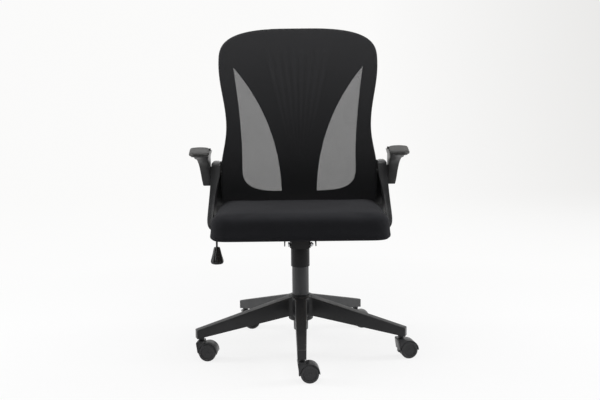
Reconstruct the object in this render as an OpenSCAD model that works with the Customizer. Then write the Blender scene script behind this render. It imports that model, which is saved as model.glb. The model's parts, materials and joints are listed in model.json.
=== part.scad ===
// Swivel office chair with a mesh back, flip-up arms, a tilt mechanism and a gas lift.
// Frame: swivel axis at the origin, floor at z = 0, the sitter faces -Y, millimetres.

/* [Star base] */
// Radius from the swivel axis to the end of a leg
base_radius = 322; // [310:2:340]
// Height of a leg's top edge at its end
leg_tip_top = 91; // [86:0.5:98]
// Height of a leg's lower edge at its end
leg_tip_bottom = 64.5; // [62:0.5:68]
// Width of a leg at the hub
leg_root_width = 38; // [34:1:46]
// Width of a leg at its end
leg_tip_width = 24.5; // [24:0.5:30]
// Wall of a leg around its open underside
leg_wall = 4; // [3:0.5:6]
// Outer radius of the hub
hub_radius = 37; // [36:0.5:44]
// Height of the hub's top face
hub_top = 170; // [166:1:180]
// Height of the hub's lower rim
hub_bottom = 94; // [88:1:100]

/* [Gas lift] */
// Outer radius of the column tube
tube_radius = 25; // [24:0.5:26]
// Wall of the column tube
tube_wall = 2.5; // [2:0.25:3]
// Height of the column tube's lower end
tube_bottom = 62; // [61:0.5:64]
// Height of the column tube's upper end
tube_top = 270; // [262:1:272]
// Radius that the tube's tapered foot loses from the hub's top to its lower end
tube_taper = 3.7; // [3:0.1:4]
// Radius of the gas cylinder that slides in the tube
cylinder_radius = 14; // [13:0.5:15]
// Wall of the gas cylinder
cylinder_wall = 2.5; // [2:0.25:3]
// Length of the guide bush
bush_length = 68; // [50:2:80]
// Radius of the piston rod
rod_radius = 5; // [4:0.5:6]
// Outer radius of the cover sleeve
sleeve_radius = 28; // [27.5:0.25:29]
// Height of the cover sleeve's lower rim
sleeve_bottom = 257; // [250:1:260]

/* [Casters] */
// Radius of a caster wheel
wheel_radius = 25; // [23:0.5:26]
// Width of one wheel of the twin
wheel_width = 14.5; // [12:0.5:17]
// Thickness of the housing between the two wheels
web_thickness = 16; // [14:0.5:18]
// Distance from the swivel stem to the wheel axle
caster_trail = 20; // [18:0.5:21]
// Radius of the caster stem
stem_radius = 5; // [4:0.25:5.5]
// Radius of the wheel axle
axle_radius = 3; // [2.5:0.25:4]
// Distance of a caster's stem from its leg's end
stem_inset = 15; // [13:1:25]
// Height of the lower end of the stem's socket under a leg
stem_socket_bottom = 58; // [57:0.5:60]

/* [Seat] */
// Width of the seat cushion
seat_width = 512; // [490:2:516]
// Front edge of the cushion, ahead of the swivel axis
seat_front = 245; // [235:5:260]
// Rear edge of the cushion, behind the swivel axis
seat_rear = 190; // [180:2:192]
// Height of the cushion's underside
seat_bottom = 371; // [368:1:376]
// Thickness of the cushion at its front
cushion_front = 76; // [66:1:86]
// Thickness of the cushion at its rear
cushion_rear = 63; // [56:1:68]
// Corner radius of the cushion seen from above
seat_corner = 58; // [50:2:70]
// Radius along the cushion's upper edge
cushion_edge = 30; // [24:1:31]
// Radius along the cushion's lower edge
cushion_lower_edge = 18; // [10:1:22]
// Thickness of the plywood board in the cushion
board_thickness = 12; // [9:1:15]

/* [Tilt mechanism] */
// Distance of the tilt pivot ahead of the swivel axis
pivot_ahead = 50; // [45:1:55]
// Distance of the tilt pivot under the seat's underside
pivot_drop = 40; // [38:0.5:41]
// Radius of the tilt pivot bolt
pivot_radius = 4; // [3:0.5:4.5]
// Outer width of the pressed steel housing
housing_width = 54; // [52:1:58]
// Sheet thickness of the housing and the seat plate
sheet = 3; // [2.5:0.25:3.5]
// Height of the housing, from its underside to the seat's underside
housing_depth = 51; // [50:0.5:53]
// Radius of the lever rod
lever_radius = 3; // [2.5:0.25:3.5]
// Distance of the lever's hanging end from the swivel axis
lever_reach = 249; // [235:1:255]
// Distance of the lever rod under the seat's underside
lever_drop = 33; // [32:0.5:34]
// Radius of the tension knob
knob_radius = 21; // [18:0.5:23]

/* [Back] */
// Height of the top of the back
back_top = 971; // [950:1:1000]
// Height of the lower edge of the back
back_bottom = 400; // [392:1:410]
// Half width of the back at its widest, near the top
back_half_top = 250; // [240:1:256]
// Half width of the back at the waist
back_half_waist = 226; // [220:1:232]
// Half width of the back at its foot
back_half_foot = 245; // [240:1:246]
// Height of the waist
waist_height = 665; // [655:1:675]
// Distance of the lumbar bulge behind the swivel axis
lumbar_rear = 205; // [203:1:215]
// Height of the lumbar bulge
lumbar_height = 570; // [560:1:580]
// Radius of the back's side curve above the lumbar bulge
upper_curve = 800; // [700:10:900]
// Radius of the back's side curve below the lumbar bulge
lower_curve = 470; // [440:10:520]
// Radius with which the back wraps round the sitter
wrap_radius = 850; // [800:10:950]
// Wall of the moulded back panel
panel_wall = 4; // [3:0.25:5]
// Depth of the flange round the back
flange_depth = 14; // [12:0.5:18]
// Thickness of the mesh fabric
mesh_thickness = 1.2; // [0.8:0.1:2]

/* [Arms] */
// Height of the top of the arm pads
pad_top = 605; // [602:0.5:610]
// Thickness of an arm pad
pad_thickness = 11; // [10:0.5:12]
// Width of an arm pad
pad_width = 60; // [56:1:64]
// Length of an arm pad
pad_length = 222; // [210:2:230]
// Distance of the middle of each pad from the chair's centre plane
pad_offset = 298; // [296:0.5:300]
// Angle in degrees by which the pads' front ends turn in towards the sitter
pad_toe_in = 5; // [4:0.5:6]
// Distance of the arm pivot behind the swivel axis
arm_pivot_rear = 150; // [146:1:156]
// Height of the arm pivot
arm_pivot_height = 524; // [520:1:528]
// Radius of the arm pivot bolt
arm_bolt_radius = 6; // [5:0.5:7]
// Radius of the arm's hub round its pivot
arm_hub_radius = 22; // [20:0.5:25]

/* [Side brackets] */
// Distance of a bracket's outer face from the centre plane at the seat
bracket_outer = 280; // [278:0.5:284]
// Thickness of a bracket's lower leg
bracket_wall = 17; // [14:0.5:19]
// Thickness of the flange under the seat board
bracket_flange = 12; // [10:0.5:13]
// Height of the bracket's top, where its cap sits
bracket_top = 545; // [540:1:548]

/* [Hidden] */
$fn = 96;
slack = 0.05;                 // radial clearance of every running fit
leg_count = 5;
first_leg = -90;              // one leg points straight ahead
caster_yaw = [3, 10, 4, 8, -6]; // where each caster trails, measured from +X
hub_bevel = 5;
leg_root = hub_radius - 12;   // the legs start inside the hub
leg_root_top = hub_top - 1;
leg_root_bottom = hub_bottom + 22;
stem_boss = 3.5;              // wall of a leg's stem socket
stem_boss_rise = 8;           // how far the socket reaches up into the leg
stem_circle = base_radius - stem_inset;
housing_bottom = seat_bottom - housing_depth;
pivot_height = seat_bottom - pivot_drop;
lever_height = seat_bottom - lever_drop;
tube_floor = 66;
tube_floor_thickness = 4;
ring_wall = 6;
ring_height = 50;
ring_cover = 5;               // plastic over the ring's upper end
piston_height = 15;
buffer_top = 88;
bearing_top = 78;
bearing_radius = 12;
clip_groove = 0.8;            // depth of the groove for the clip under the tube's floor
clip_low = tube_floor - 1.8;
clip_high = tube_floor - 0.3;
cylinder_bottom = 90;
cylinder_top = housing_bottom - 4;
rod_top = cylinder_top - 26;
cylinder_taper = 0.8;
socket_wall = 4;
socket_length = 44;
valve_radius = 4;
sleeve_wall = 2;
stem_top = 82;
stem_bottom = 33;
hood_wall = 2.5;
hood_gap = 1;
hood_neck = 4;                // wall round the stem's socket
skirt_front = 12.5;           // how far the hood reaches beyond the stem
skirt_top = 48;
side_gap = 0.7;               // between a wheel and the housing
fork_top = stem_socket_bottom - 0.5;
plate_half = 92;
plate_front = 122;
plate_rear = 86;
bolt_x = 76;
bolt_front = 104;
bolt_rear = 68;
bolt_radius = 3;
bolt_head = 4;
cheek_half = 11;
spring_rear = 56;
spring_radius = 13;
spring_wire = 2.2;
spring_turns = 4;
spring_seat_height = 4;
screw_radius = 4;
knob_height = 18;
rocker_half = 7;
rocker_end = 12;
grip_top = lever_height - 22;
grip_bottom = grip_top - 50.5;
lever_bend = 8;
board_inset = 26;
rim_bead = 2.7;               // the mesh stands this far off the panel
rib_count = 8;
corner_power = 3;
lip_depth = 10;
wing_thickness = 8;
wing_low = 412;
wing_high = 545;
wing_inner = 188;
arm_face = bracket_outer - 4; // inner face of the arm's post
cap_height = 14;
cap_width = 27;

valve_z = cylinder_top - 14;  // lower end of the valve pin
valve_tip = lever_height - 8;
pivot_y = -pivot_ahead;
spring_low = housing_bottom + sheet + 1 + spring_seat_height; // where the tilt spring stands
wheel_offset = web_thickness / 2 + side_gap;
wrap_axis = lumbar_rear - wrap_radius;
mesh_front = rim_bead + mesh_thickness;
pad_middle = arm_pivot_rear - 9 - pad_length / 2;

WHEELS = ["a", "b"];
SIDES = ["left", "right"];

nylon = [0.15, 0.15, 0.155];
steel = [0.55, 0.56, 0.58];
black_steel = [0.1, 0.1, 0.11];

// ---------------------------------------------------------------- helpers

// Solid along Y, cut from an outline drawn in X and Z
module along_y(from, to) {
    translate([0, to, 0]) rotate([90, 0, 0]) linear_extrude(height = to - from) children();
}

// Solid along X, cut from an outline drawn in Y and Z
module along_x(from, to) {
    translate([from, 0, 0]) rotate([90, 0, 90]) linear_extrude(height = to - from) children();
}

// Round bar along X
module bar_x(radius, from, to, y, z) {
    translate([from, y, z]) rotate([0, 90, 0]) cylinder(r = radius, h = to - from);
}

// Ring about the vertical axis
module ring(outer, inner, from, to) {
    translate([0, 0, from]) difference() {
        cylinder(r = outer, h = to - from);
        translate([0, 0, -1]) cylinder(r = inner, h = to - from + 2);
    }
}

// Outline whose corners are eased, each over its own length along both its edges
function eased(corners, ease) = let (n = len(corners), steps = 5) [for (k = [0:n - 1]) let (
    corner = corners[k],
    before = corners[(k + n - 1) % n] - corner,
    after = corners[(k + 1) % n] - corner,
    reach = min(ease[k], 0.45 * norm(before), 0.45 * norm(after)),
    start = corner + before / norm(before) * reach,
    end = corner + after / norm(after) * reach)
    each reach == 0 ? [corner]
        : [for (t = [0:1 / steps:1]) start * pow(1 - t, 2) + corner * 2 * t * (1 - t) + end * pow(t, 2)]];

// Hexagonal head with a shaft under it, pointing up
module bolt(radius, length, head) {
    cylinder(r = radius, h = length);
    translate([0, 0, -head]) cylinder(r = radius * 1.8, h = head, $fn = 6);
}

// Mirrored for the left side, as drawn for the right
module on_side(side) {
    mirror([side == "left" ? 1 : 0, 0, 0]) children();
}

// ---------------------------------------------------------------- star base

function tube_radius_at(z) = tube_radius - tube_taper * (hub_top - z) / (hub_top - tube_bottom);
function leg_top_at(r) = leg_root_top
    - (leg_root_top - leg_tip_top) * (r - leg_root) / (base_radius - leg_root);
function leg_bottom_at(r) = leg_root_bottom - (leg_root_bottom - leg_tip_bottom) * r / base_radius;
function leg_width_at(r) = leg_root_width - (leg_root_width - leg_tip_width) * r / base_radius;

module at_leg(i) {
    rotate(first_leg + (i - 1) * 360 / leg_count) children();
}

// Thin slice across a leg, with bevelled upper edges
module leg_slice(r) {
    w = leg_width_at(r) / 2;
    bevel = min(6, w / 2);
    translate([r, 0, 0]) rotate([90, 0, 90]) linear_extrude(height = 1)
        polygon([[-w, leg_bottom_at(r)], [w, leg_bottom_at(r)], [w, leg_top_at(r) - bevel],
                 [w - bevel, leg_top_at(r)], [bevel - w, leg_top_at(r)], [-w, leg_top_at(r) - bevel]]);
}

// Open bay in a leg's underside, between two cross ribs
module leg_bay(from, to) {
    roof = 2 * leg_wall;
    translate([0, 0, -1]) intersection() {
        linear_extrude(height = hub_top)
            polygon([for (s = [-1, 1], r = s < 0 ? [from, to] : [to, from])
                     [r, s * (leg_width_at(r) / 2 - leg_wall)]]);
        translate([0, hub_radius, 0]) rotate([90, 0, 0]) linear_extrude(height = 2 * hub_radius)
            polygon([[from, 0], [to, 0], [to, leg_top_at(to) - roof], [from, leg_top_at(from) - roof]]);
    }
}

module star_base() {
    bays = 4;
    first = hub_radius + 10;
    last = stem_circle - stem_radius - stem_boss - 5;
    step = (last - first + leg_wall) / bays;
    color(nylon) difference() {
        union() {
            rotate_extrude() polygon([[0, hub_bottom], [hub_radius - hub_bevel, hub_bottom],
                [hub_radius, hub_bottom + hub_bevel], [hub_radius, hub_top - 6], [hub_radius - 6, hub_top],
                [0, hub_top]]);
            for (i = [1:leg_count]) at_leg(i) {
                hull() {
                    leg_slice(leg_root);
                    leg_slice(base_radius - 1);
                }
                translate([stem_circle, 0, stem_socket_bottom])
                    cylinder(r = stem_radius + stem_boss,
                             h = leg_bottom_at(stem_circle) + stem_boss_rise - stem_socket_bottom);
            }
        }
        translate([0, 0, hub_top - ring_height])
            cylinder(r = tube_radius + ring_wall, h = ring_height - ring_cover);
        translate([0, 0, hub_bottom - 1])
            cylinder(r1 = tube_radius_at(hub_bottom - 1) + 0.5, r2 = tube_radius_at(hub_top) + 0.5,
                     h = hub_top - hub_bottom + 2);
        for (i = [1:leg_count]) at_leg(i) {
            translate([stem_circle, 0, 0]) cylinder(r = stem_radius, h = stem_top);
            for (bay = [0:bays - 1]) leg_bay(first + bay * step, first + (bay + 1) * step - leg_wall);
        }
    }
}

module hub_ring() {
    color(steel) translate([0, 0, hub_top - ring_height]) difference() {
        cylinder(r = tube_radius + ring_wall, h = ring_height - ring_cover);
        translate([0, 0, -1]) cylinder(r1 = tube_radius_at(hub_top - ring_height - 1),
                                       r2 = tube_radius_at(hub_top + 1), h = ring_height + 2);
    }
}

// ---------------------------------------------------------------- gas lift

module column_tube() {
    foot = tube_radius_at(tube_bottom);
    color(black_steel) difference() {
        rotate_extrude() polygon([[0, tube_bottom], [foot, tube_bottom], [tube_radius, hub_top],
                                  [tube_radius, tube_top], [0, tube_top]]);
        translate([0, 0, tube_floor + tube_floor_thickness])
            cylinder(r1 = tube_radius_at(tube_floor) - tube_wall, r2 = tube_radius - tube_wall,
                     h = hub_top - tube_floor - tube_floor_thickness);
        translate([0, 0, hub_top - 0.01]) cylinder(r = tube_radius - tube_wall, h = tube_top - hub_top + 1);
        translate([0, 0, tube_bottom - 1]) cylinder(r = foot - tube_wall, h = tube_floor - tube_bottom + 1);
        translate([0, 0, tube_bottom]) cylinder(r = rod_radius + slack, h = 20);
    }
}

module guide_bush() {
    color([0.85, 0.84, 0.8])
        ring(tube_radius - tube_wall, cylinder_radius + slack, tube_top - bush_length - 2, tube_top - 2);
}

module thrust_bearing() {
    washer = 2;
    low = tube_floor + tube_floor_thickness;
    color(steel) {
        ring(bearing_radius, rod_radius + slack, low, low + washer);
        ring(bearing_radius - 1, rod_radius + 2, low + washer, bearing_top - washer);
        ring(bearing_radius, rod_radius + slack, bearing_top - washer, bearing_top);
    }
}

module buffer_ring() {
    color([0.08, 0.08, 0.08]) ring(bearing_radius, rod_radius + slack, bearing_top, buffer_top);
}

module rod_clip() {
    color(steel) ring(rod_radius + 4, rod_radius - clip_groove, clip_low, clip_high);
}

module piston_rod() {
    color(steel) difference() {
        union() {
            translate([0, 0, tube_bottom]) cylinder(r = rod_radius, h = rod_top - tube_bottom);
            translate([0, 0, rod_top - 2 - piston_height])
                cylinder(r = cylinder_radius - cylinder_wall - slack, h = piston_height);
        }
        ring(rod_radius + 1, rod_radius - clip_groove, clip_low, clip_high);
    }
}

module gas_cylinder() {
    bore = cylinder_radius - cylinder_wall;
    seat = cylinder_top - socket_length;
    color(black_steel) difference() {
        rotate_extrude() polygon([[0, cylinder_bottom], [cylinder_radius - 1, cylinder_bottom],
            [cylinder_radius, cylinder_bottom + 1], [cylinder_radius, seat],
            [cylinder_radius - cylinder_taper, cylinder_top], [0, cylinder_top]]);
        translate([0, 0, cylinder_bottom + 30]) cylinder(r = bore, h = valve_z - 8 - cylinder_bottom - 30);
        translate([0, 0, cylinder_bottom - 1]) cylinder(r = rod_radius + slack, h = 40);
        translate([0, 0, valve_z - 3]) cylinder(r = valve_radius + slack, h = 40);
    }
}

module valve_pin() {
    color(steel) translate([0, 0, valve_z]) cylinder(r = valve_radius, h = valve_tip - valve_z);
}

module column_sleeve() {
    top = housing_bottom;
    color([0.09, 0.09, 0.095]) rotate_extrude() polygon([
        [sleeve_radius - sleeve_wall, sleeve_bottom], [sleeve_radius - 1, sleeve_bottom],
        [sleeve_radius, sleeve_bottom + 4], [sleeve_radius, top - 6], [sleeve_radius - 2, top],
        [cylinder_radius + socket_wall + slack, top], [cylinder_radius + socket_wall + slack, top - sheet],
        [sleeve_radius - sleeve_wall, top - sheet]]);
}

// ---------------------------------------------------------------- casters

// Places a caster's own frame: stem at its origin, wheel axle at +X, axle along Y
module at_caster(i) {
    angle = first_leg + (i - 1) * 360 / leg_count;
    translate([stem_circle * cos(angle), stem_circle * sin(angle), 0]) rotate(caster_yaw[i - 1]) children();
}

module caster_stems() {
    color(steel) for (i = [1:leg_count]) at_caster(i) {
        translate([0, 0, stem_bottom]) cylinder(r = stem_radius, h = stem_top - stem_bottom);
    }
}

// Cover over both wheels with the web between them, which carries stem and axle
module caster_hood(i) {
    outer = wheel_radius + hood_gap + hood_wall;
    half_width = wheel_offset + wheel_width - 1;
    front = -stem_radius - hood_neck;
    color([0.2, 0.2, 0.205]) at_caster(i) difference() {
        union() {
            // half round cover, drawn down to the axle's height
            along_y(-half_width, half_width) difference() {
                union() {
                    intersection() {
                        translate([caster_trail, wheel_radius]) circle(r = outer);
                        translate([caster_trail - outer, wheel_radius]) square([2 * outer, outer]);
                    }
                    polygon([[caster_trail - outer, wheel_radius], [-skirt_front, skirt_top - 4],
                             [2 - skirt_front, skirt_top], [caster_trail - 12, skirt_top + 3],
                             [caster_trail - 12, wheel_radius]]);
                }
                translate([caster_trail, wheel_radius]) circle(r = wheel_radius + hood_gap);
            }
            along_y(-web_thickness / 2, web_thickness / 2) union() {
                intersection() {
                    translate([caster_trail, wheel_radius]) circle(r = wheel_radius + 1.5);
                    translate([front, wheel_radius - 8]) square([2 * outer, outer]);
                }
                translate([front, wheel_radius - 8]) square([20, fork_top - wheel_radius]);
            }
            translate([0, 0, wheel_radius + 10])
                cylinder(r = stem_radius + hood_neck, h = fork_top - wheel_radius - 10);
        }
        translate([0, 0, stem_bottom - 1]) cylinder(r = stem_radius + slack, h = fork_top);
        translate([caster_trail, 0, wheel_radius]) rotate([90, 0, 0])
            cylinder(r = axle_radius, h = 2 * wheel_radius, center = true);
        // both wheels' own space, right down through the front skirt's foot
        for (side = [-1, 1])
            translate([caster_trail, side * (web_thickness / 2 + wheel_radius), wheel_radius])
                rotate([90, 0, 0]) cylinder(r = wheel_radius + hood_gap, h = 2 * wheel_radius, center = true);
    }
}

module caster_axle(i) {
    color(steel) at_caster(i) translate([caster_trail, 0, wheel_radius]) rotate([90, 0, 0])
        cylinder(r = axle_radius, h = 2 * (wheel_offset + wheel_width - 3), center = true);
}

// One wheel of the twin: a rounded tread, a dished outer face and a blind hub
module caster_wheel(i, side) {
    rim = 2;
    color([0.23, 0.23, 0.235]) at_caster(i) translate([caster_trail, 0, wheel_radius])
        rotate([side * 90, 0, 0]) translate([0, 0, -wheel_offset - wheel_width]) difference() {
            rotate_extrude() polygon([[0, 1.5], [wheel_radius * 0.7, 1.5], [wheel_radius * 0.72, 0],
                [wheel_radius - rim, 0], [wheel_radius, rim], [wheel_radius, wheel_width - 1],
                [wheel_radius - 1, wheel_width], [0, wheel_width]]);
            translate([0, 0, 3]) cylinder(r = axle_radius + slack, h = wheel_width);
        }
}

// ---------------------------------------------------------------- tilt mechanism

// Side view of the housing, raised at its floor by some thickness
function housing_side(floor_rise, open_top) = [
    [pivot_y - 16, housing_bottom + floor_rise], [plate_rear - 4, housing_bottom + floor_rise],
    [plate_rear - 4, housing_bottom + 17 + open_top], [pivot_y + 10, seat_bottom - 11 + open_top],
    [pivot_y - 16, seat_bottom - 11 + open_top]];

module mechanism_housing() {
    half = housing_width / 2;
    seat = cylinder_top - socket_length;
    color(black_steel) difference() {
        union() {
            difference() {
                along_x(-half, half) polygon(housing_side(0, 0));
                intersection() {
                    along_x(sheet - half, half - sheet) polygon(housing_side(sheet, 50));
                    translate([-half, pivot_y - 16 + sheet, 0])
                        cube([2 * half, plate_rear - pivot_y + 12 - 2 * sheet, 2 * seat_bottom]);
                }
            }
            translate([0, 0, seat])
                cylinder(r = cylinder_radius + socket_wall, h = cylinder_top - seat + socket_wall);
            translate([0, spring_rear, housing_bottom + 1]) cylinder(r = screw_radius + 4, h = sheet);
        }
        translate([0, 0, seat])
            cylinder(r1 = cylinder_radius, r2 = cylinder_radius - cylinder_taper, h = socket_length);
        translate([0, 0, seat - 1]) cylinder(r = cylinder_radius, h = 1.01);
        translate([0, 0, cylinder_top]) cylinder(r = cylinder_radius - 3, h = 10);
        bar_x(pivot_radius + slack, -half - 1, half + 1, pivot_y, pivot_height);
        bar_x(rocker_half + 1.2, -half - 1, 0, 0, lever_height);
        translate([0, spring_rear, 0]) cylinder(r = screw_radius + slack, h = seat_bottom);
    }
}

module tilt_pivot_bolt() {
    reach = housing_width / 2 + sheet + 0.8;
    color(steel) {
        bar_x(pivot_radius, -reach, reach + 8, pivot_y, pivot_height);
        translate([-reach, pivot_y, pivot_height]) rotate([0, -90, 0]) cylinder(r = 7, h = 5, $fn = 6);
        difference() {
            translate([reach, pivot_y, pivot_height]) rotate([0, 90, 0]) cylinder(r = 7, h = 5, $fn = 6);
            bar_x(pivot_radius, reach - 1, reach + 8, pivot_y, pivot_height);
        }
    }
}

// Points round the spring's wire at one angle of its helix
function spring_section(turn, from, rise, sides) = [for (k = [0:sides - 1]) let (a = 360 * k / sides) [
    (spring_radius + spring_wire * cos(a)) * cos(360 * turn),
    (spring_radius + spring_wire * cos(a)) * sin(360 * turn),
    from + rise * turn + spring_wire * sin(a)]];

module tilt_spring() {
    sides = 8;
    steps = 20;
    from = spring_low + spring_wire;
    rise = (seat_bottom - sheet - spring_wire - from) / spring_turns;
    count = spring_turns * steps;
    points = [for (s = [0:count]) each spring_section(s / steps, from, rise, sides)];
    walls = [for (s = [0:count - 1], k = [0:sides - 1]) let (n = (k + 1) % sides)
        each [[s * sides + k, (s + 1) * sides + k, (s + 1) * sides + n],
              [s * sides + k, (s + 1) * sides + n, s * sides + n]]];
    ends = [[for (k = [0:sides - 1]) k], [for (k = [sides - 1:-1:0]) count * sides + k]];
    color(steel) translate([0, spring_rear, 0]) polyhedron(points, concat(walls, ends));
}

module spring_seat() {
    color(steel) translate([0, spring_rear, 0])
        ring(spring_radius + 3, screw_radius + slack, spring_low - spring_seat_height, spring_low);
}

module tension_knob() {
    notches = 12;
    color(nylon) translate([0, spring_rear, 0]) {
        translate([0, 0, housing_bottom - 1 - knob_height]) difference() {
            union() {
                cylinder(r = knob_radius, h = knob_height - 3);
                cylinder(r = knob_radius - 3, h = knob_height);
            }
            for (k = [1:notches]) rotate(k * 360 / notches) translate([knob_radius + 2, 0, -1])
                cylinder(r = 4, h = knob_height + 2);
        }
        translate([0, 0, housing_bottom - 2]) cylinder(r = screw_radius, h = sheet + spring_seat_height + 2);
    }
}

module release_rocker() {
    fulcrum = housing_width / 2 - sheet / 2;
    color(nylon) difference() {
        union() {
            bar_x(rocker_half, -fulcrum - 9, 1 - fulcrum + sheet, 0, lever_height);
            translate([sheet - fulcrum, -rocker_half, lever_height - 5])
                cube([fulcrum + rocker_end - sheet, 2 * rocker_half, 11]);
            translate([0, rocker_half, lever_height - 5]) rotate([90, 0, 0])
                cylinder(r = 3, h = 2 * rocker_half);
        }
        bar_x(lever_radius + slack, -fulcrum - 20, rocker_end + 1, 0, lever_height);
    }
}

module lever_rod() {
    drop = lever_reach - lever_bend;
    color(steel) {
        bar_x(lever_radius, -drop, rocker_end - 3, 0, lever_height);
        translate([-drop, 0, lever_height - lever_bend]) rotate([90, 0, 0]) rotate([0, 0, 90])
            rotate_extrude(angle = 90) translate([lever_bend, 0]) circle(r = lever_radius, $fn = 48);
        translate([-lever_reach, 0, grip_top - 20])
            cylinder(r = lever_radius, h = lever_height - lever_bend - grip_top + 20);
    }
}

module lever_grip() {
    flutes = 10;
    low = grip_bottom;
    color(nylon) translate([-lever_reach, 0, 0]) difference() {
        rotate_extrude() polygon([[0, low], [14, low], [17.5, low + 1.5], [19.4, low + 6], [19, low + 11],
            [14, grip_top - 22], [9.6, grip_top - 2.5], [8.4, grip_top], [0, grip_top]]);
        translate([0, 0, grip_top - 20]) cylinder(r = lever_radius, h = 21);
        for (k = [1:flutes]) rotate(k * 360 / flutes) translate([21, 0, low + 8]) rotate([0, -13, 0])
            cylinder(r = 3, h = 50, $fn = 24);
    }
}

module bolt_places() {
    for (x = [-bolt_x, bolt_x], y = [-bolt_front, bolt_rear]) translate([x, y, 0]) children();
}

// Pressed plate under the seat board, with two cheeks on the tilt pivot
module seat_plate() {
    half = housing_width / 2 + 0.4;
    color(black_steel) difference() {
        union() {
            translate([-plate_half, -plate_front, seat_bottom - sheet])
                cube([2 * plate_half, plate_front + plate_rear, sheet]);
            for (side = [0, 1]) mirror([side, 0, 0]) {
                along_x(half, half + sheet) union() {
                    translate([pivot_y, pivot_height]) circle(r = cheek_half);
                    translate([pivot_y - cheek_half, pivot_height])
                        square([2 * cheek_half, seat_bottom - 1 - pivot_height]);
                }
                translate([half + 16, -plate_front + 8, pivot_height + 6])
                    cube([sheet, 96, seat_bottom - 1 - pivot_height - 6]);
            }
        }
        bar_x(pivot_radius + slack, -plate_half, plate_half, pivot_y, pivot_height);
        bolt_places() cylinder(r = bolt_radius + 0.5, h = seat_bottom + 1);
    }
}

// ---------------------------------------------------------------- seat

// Outline of the seat from above, drawn in by some distance
module seat_outline(inset) {
    r = seat_corner - inset;
    half = seat_width / 2 - seat_corner;
    for (x = [-half, half], y = [seat_corner - seat_front, seat_rear - seat_corner])
        translate([x, y]) circle(r = r);
    length = seat_front + seat_rear;
    translate([-half - r, seat_corner - seat_front]) square([2 * half + 2 * r, length - 2 * seat_corner]);
    translate([-half, inset - seat_front]) square([2 * half, length - 2 * inset]);
}

bracket_bolt_places = [[205, 45], [205, 100], [168, 72]];

module seat_board() {
    color([0.72, 0.56, 0.36]) difference() {
        translate([0, 0, seat_bottom]) linear_extrude(height = board_thickness) seat_outline(board_inset);
        bolt_places() translate([0, 0, seat_bottom - 1]) cylinder(r = bolt_radius, h = board_thickness + 2);
        for (side = [-1, 1], p = bracket_bolt_places) translate([side * p[0], p[1], seat_bottom - 1])
            cylinder(r = bolt_radius, h = board_thickness + 2);
    }
}

module cushion_corner(x, y, height) {
    translate([x, y, seat_bottom]) rotate_extrude($fn = 40) intersection() {
        square([seat_corner, height]);
        hull() {
            translate([seat_corner - cushion_lower_edge, cushion_lower_edge])
                circle(r = cushion_lower_edge, $fn = 28);
            translate([seat_corner - cushion_edge, height - cushion_edge])
                circle(r = cushion_edge, $fn = 28);
            square([seat_corner - cushion_edge, height]);
        }
    }
}

module seat_cushion() {
    half = seat_width / 2 - seat_corner;
    color([0.13, 0.13, 0.15]) difference() {
        hull() for (x = [-half, half]) {
            cushion_corner(x, seat_corner - seat_front, cushion_front);
            cushion_corner(x, seat_rear - seat_corner, cushion_rear);
        }
        translate([0, 0, seat_bottom - 1])
            linear_extrude(height = board_thickness + 1) seat_outline(board_inset);
    }
}

module seat_bolts() {
    color(steel) bolt_places() translate([0, 0, seat_bottom - sheet])
        bolt(bolt_radius, board_thickness + sheet - 1, bolt_head);
}

module bracket_bolts() {
    color(steel) for (side = [-1, 1], p = bracket_bolt_places)
        translate([side * p[0], p[1], seat_bottom - bracket_flange])
            bolt(bolt_radius, bracket_flange + board_thickness - 1, bolt_head);
}

// ---------------------------------------------------------------- back

// How far the back's face lies behind the lumbar bulge at a height
function spine(z) = let (r = z > lumbar_height ? upper_curve : lower_curve)
    r - sqrt(r * r - pow(z - lumbar_height, 2));
// Y of the surface that lies some depth behind the back's face
function back_y(x, z, depth) = wrap_axis + sqrt(pow(wrap_radius + spine(z) + depth, 2) - x * x);

// Half width of the back at a height, below its rounded top
crown_start = back_top - 106;
flare_end = waist_height - 150;
foot_corner = 28;
function flared(z, end, half) = (half + back_half_waist) / 2
    - (half - back_half_waist) / 2 * cos(180 * (z - waist_height) / (end - waist_height));
function back_half(z) = z > waist_height ? flared(z, crown_start, back_half_top)
    : z > flare_end ? flared(z, flare_end, back_half_foot)
    : back_half_foot;

// Quarter of a superellipse, from its side to its top
function quarter(a, b, power, count) = [for (k = [0:count]) let (t = 90 * k / count)
    [a * pow(cos(t), 2 / power), b * pow(sin(t), 2 / power)]];

function back_right() = let (r = foot_corner, steps = 26) concat(
    [for (p = quarter(r, r, 2, 6)) [back_half_foot - r + p[1], back_bottom + r - p[0]]],
    [for (k = [0:steps]) let (z = flare_end + (crown_start - flare_end) * k / steps) [back_half(z), z]],
    [for (p = quarter(back_half_top, back_top - crown_start, corner_power, 24))
        if (p[1] > 1) [p[0], crown_start + p[1]]]);

module back_outline() {
    right = back_right();
    last = len(right) - 1;
    polygon(concat(right, [for (k = [last - 1:-1:0]) [-right[k][0], right[k][1]]]));
}

// Leaf shaped window beside the centre panel
window_foot = [56, 456];
window_tip = [205, 849];
window_waist = 178.5;
window_knee = 575;
window_bow = 38;
window_corner = 74;
function window_points() = let (run = window_tip - window_foot) concat(
    // inner edge, bowed towards the centre
    [for (t = [0:1 / 16:1])
        window_foot + run * t + [-run[1], run[0]] / norm(run) * window_bow * 4 * t * (1 - t)],
    // outer edge, nearly straight
    [for (t = [11 / 12:-1 / 12:0]) [window_waist + (window_tip[0] - window_waist) * pow(t, 1.7),
                                    window_knee + (window_tip[1] - window_knee) * t]],
    // rounded lower corner
    [for (p = quarter(window_waist + 0.5 - window_foot[0], window_corner, 2.8, 14)) if (p[0] > 1)
        window_foot + [p[0], window_corner - p[1]]]);

module windows() {
    for (side = [0, 1]) mirror([side, 0]) polygon(window_points());
}

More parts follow.
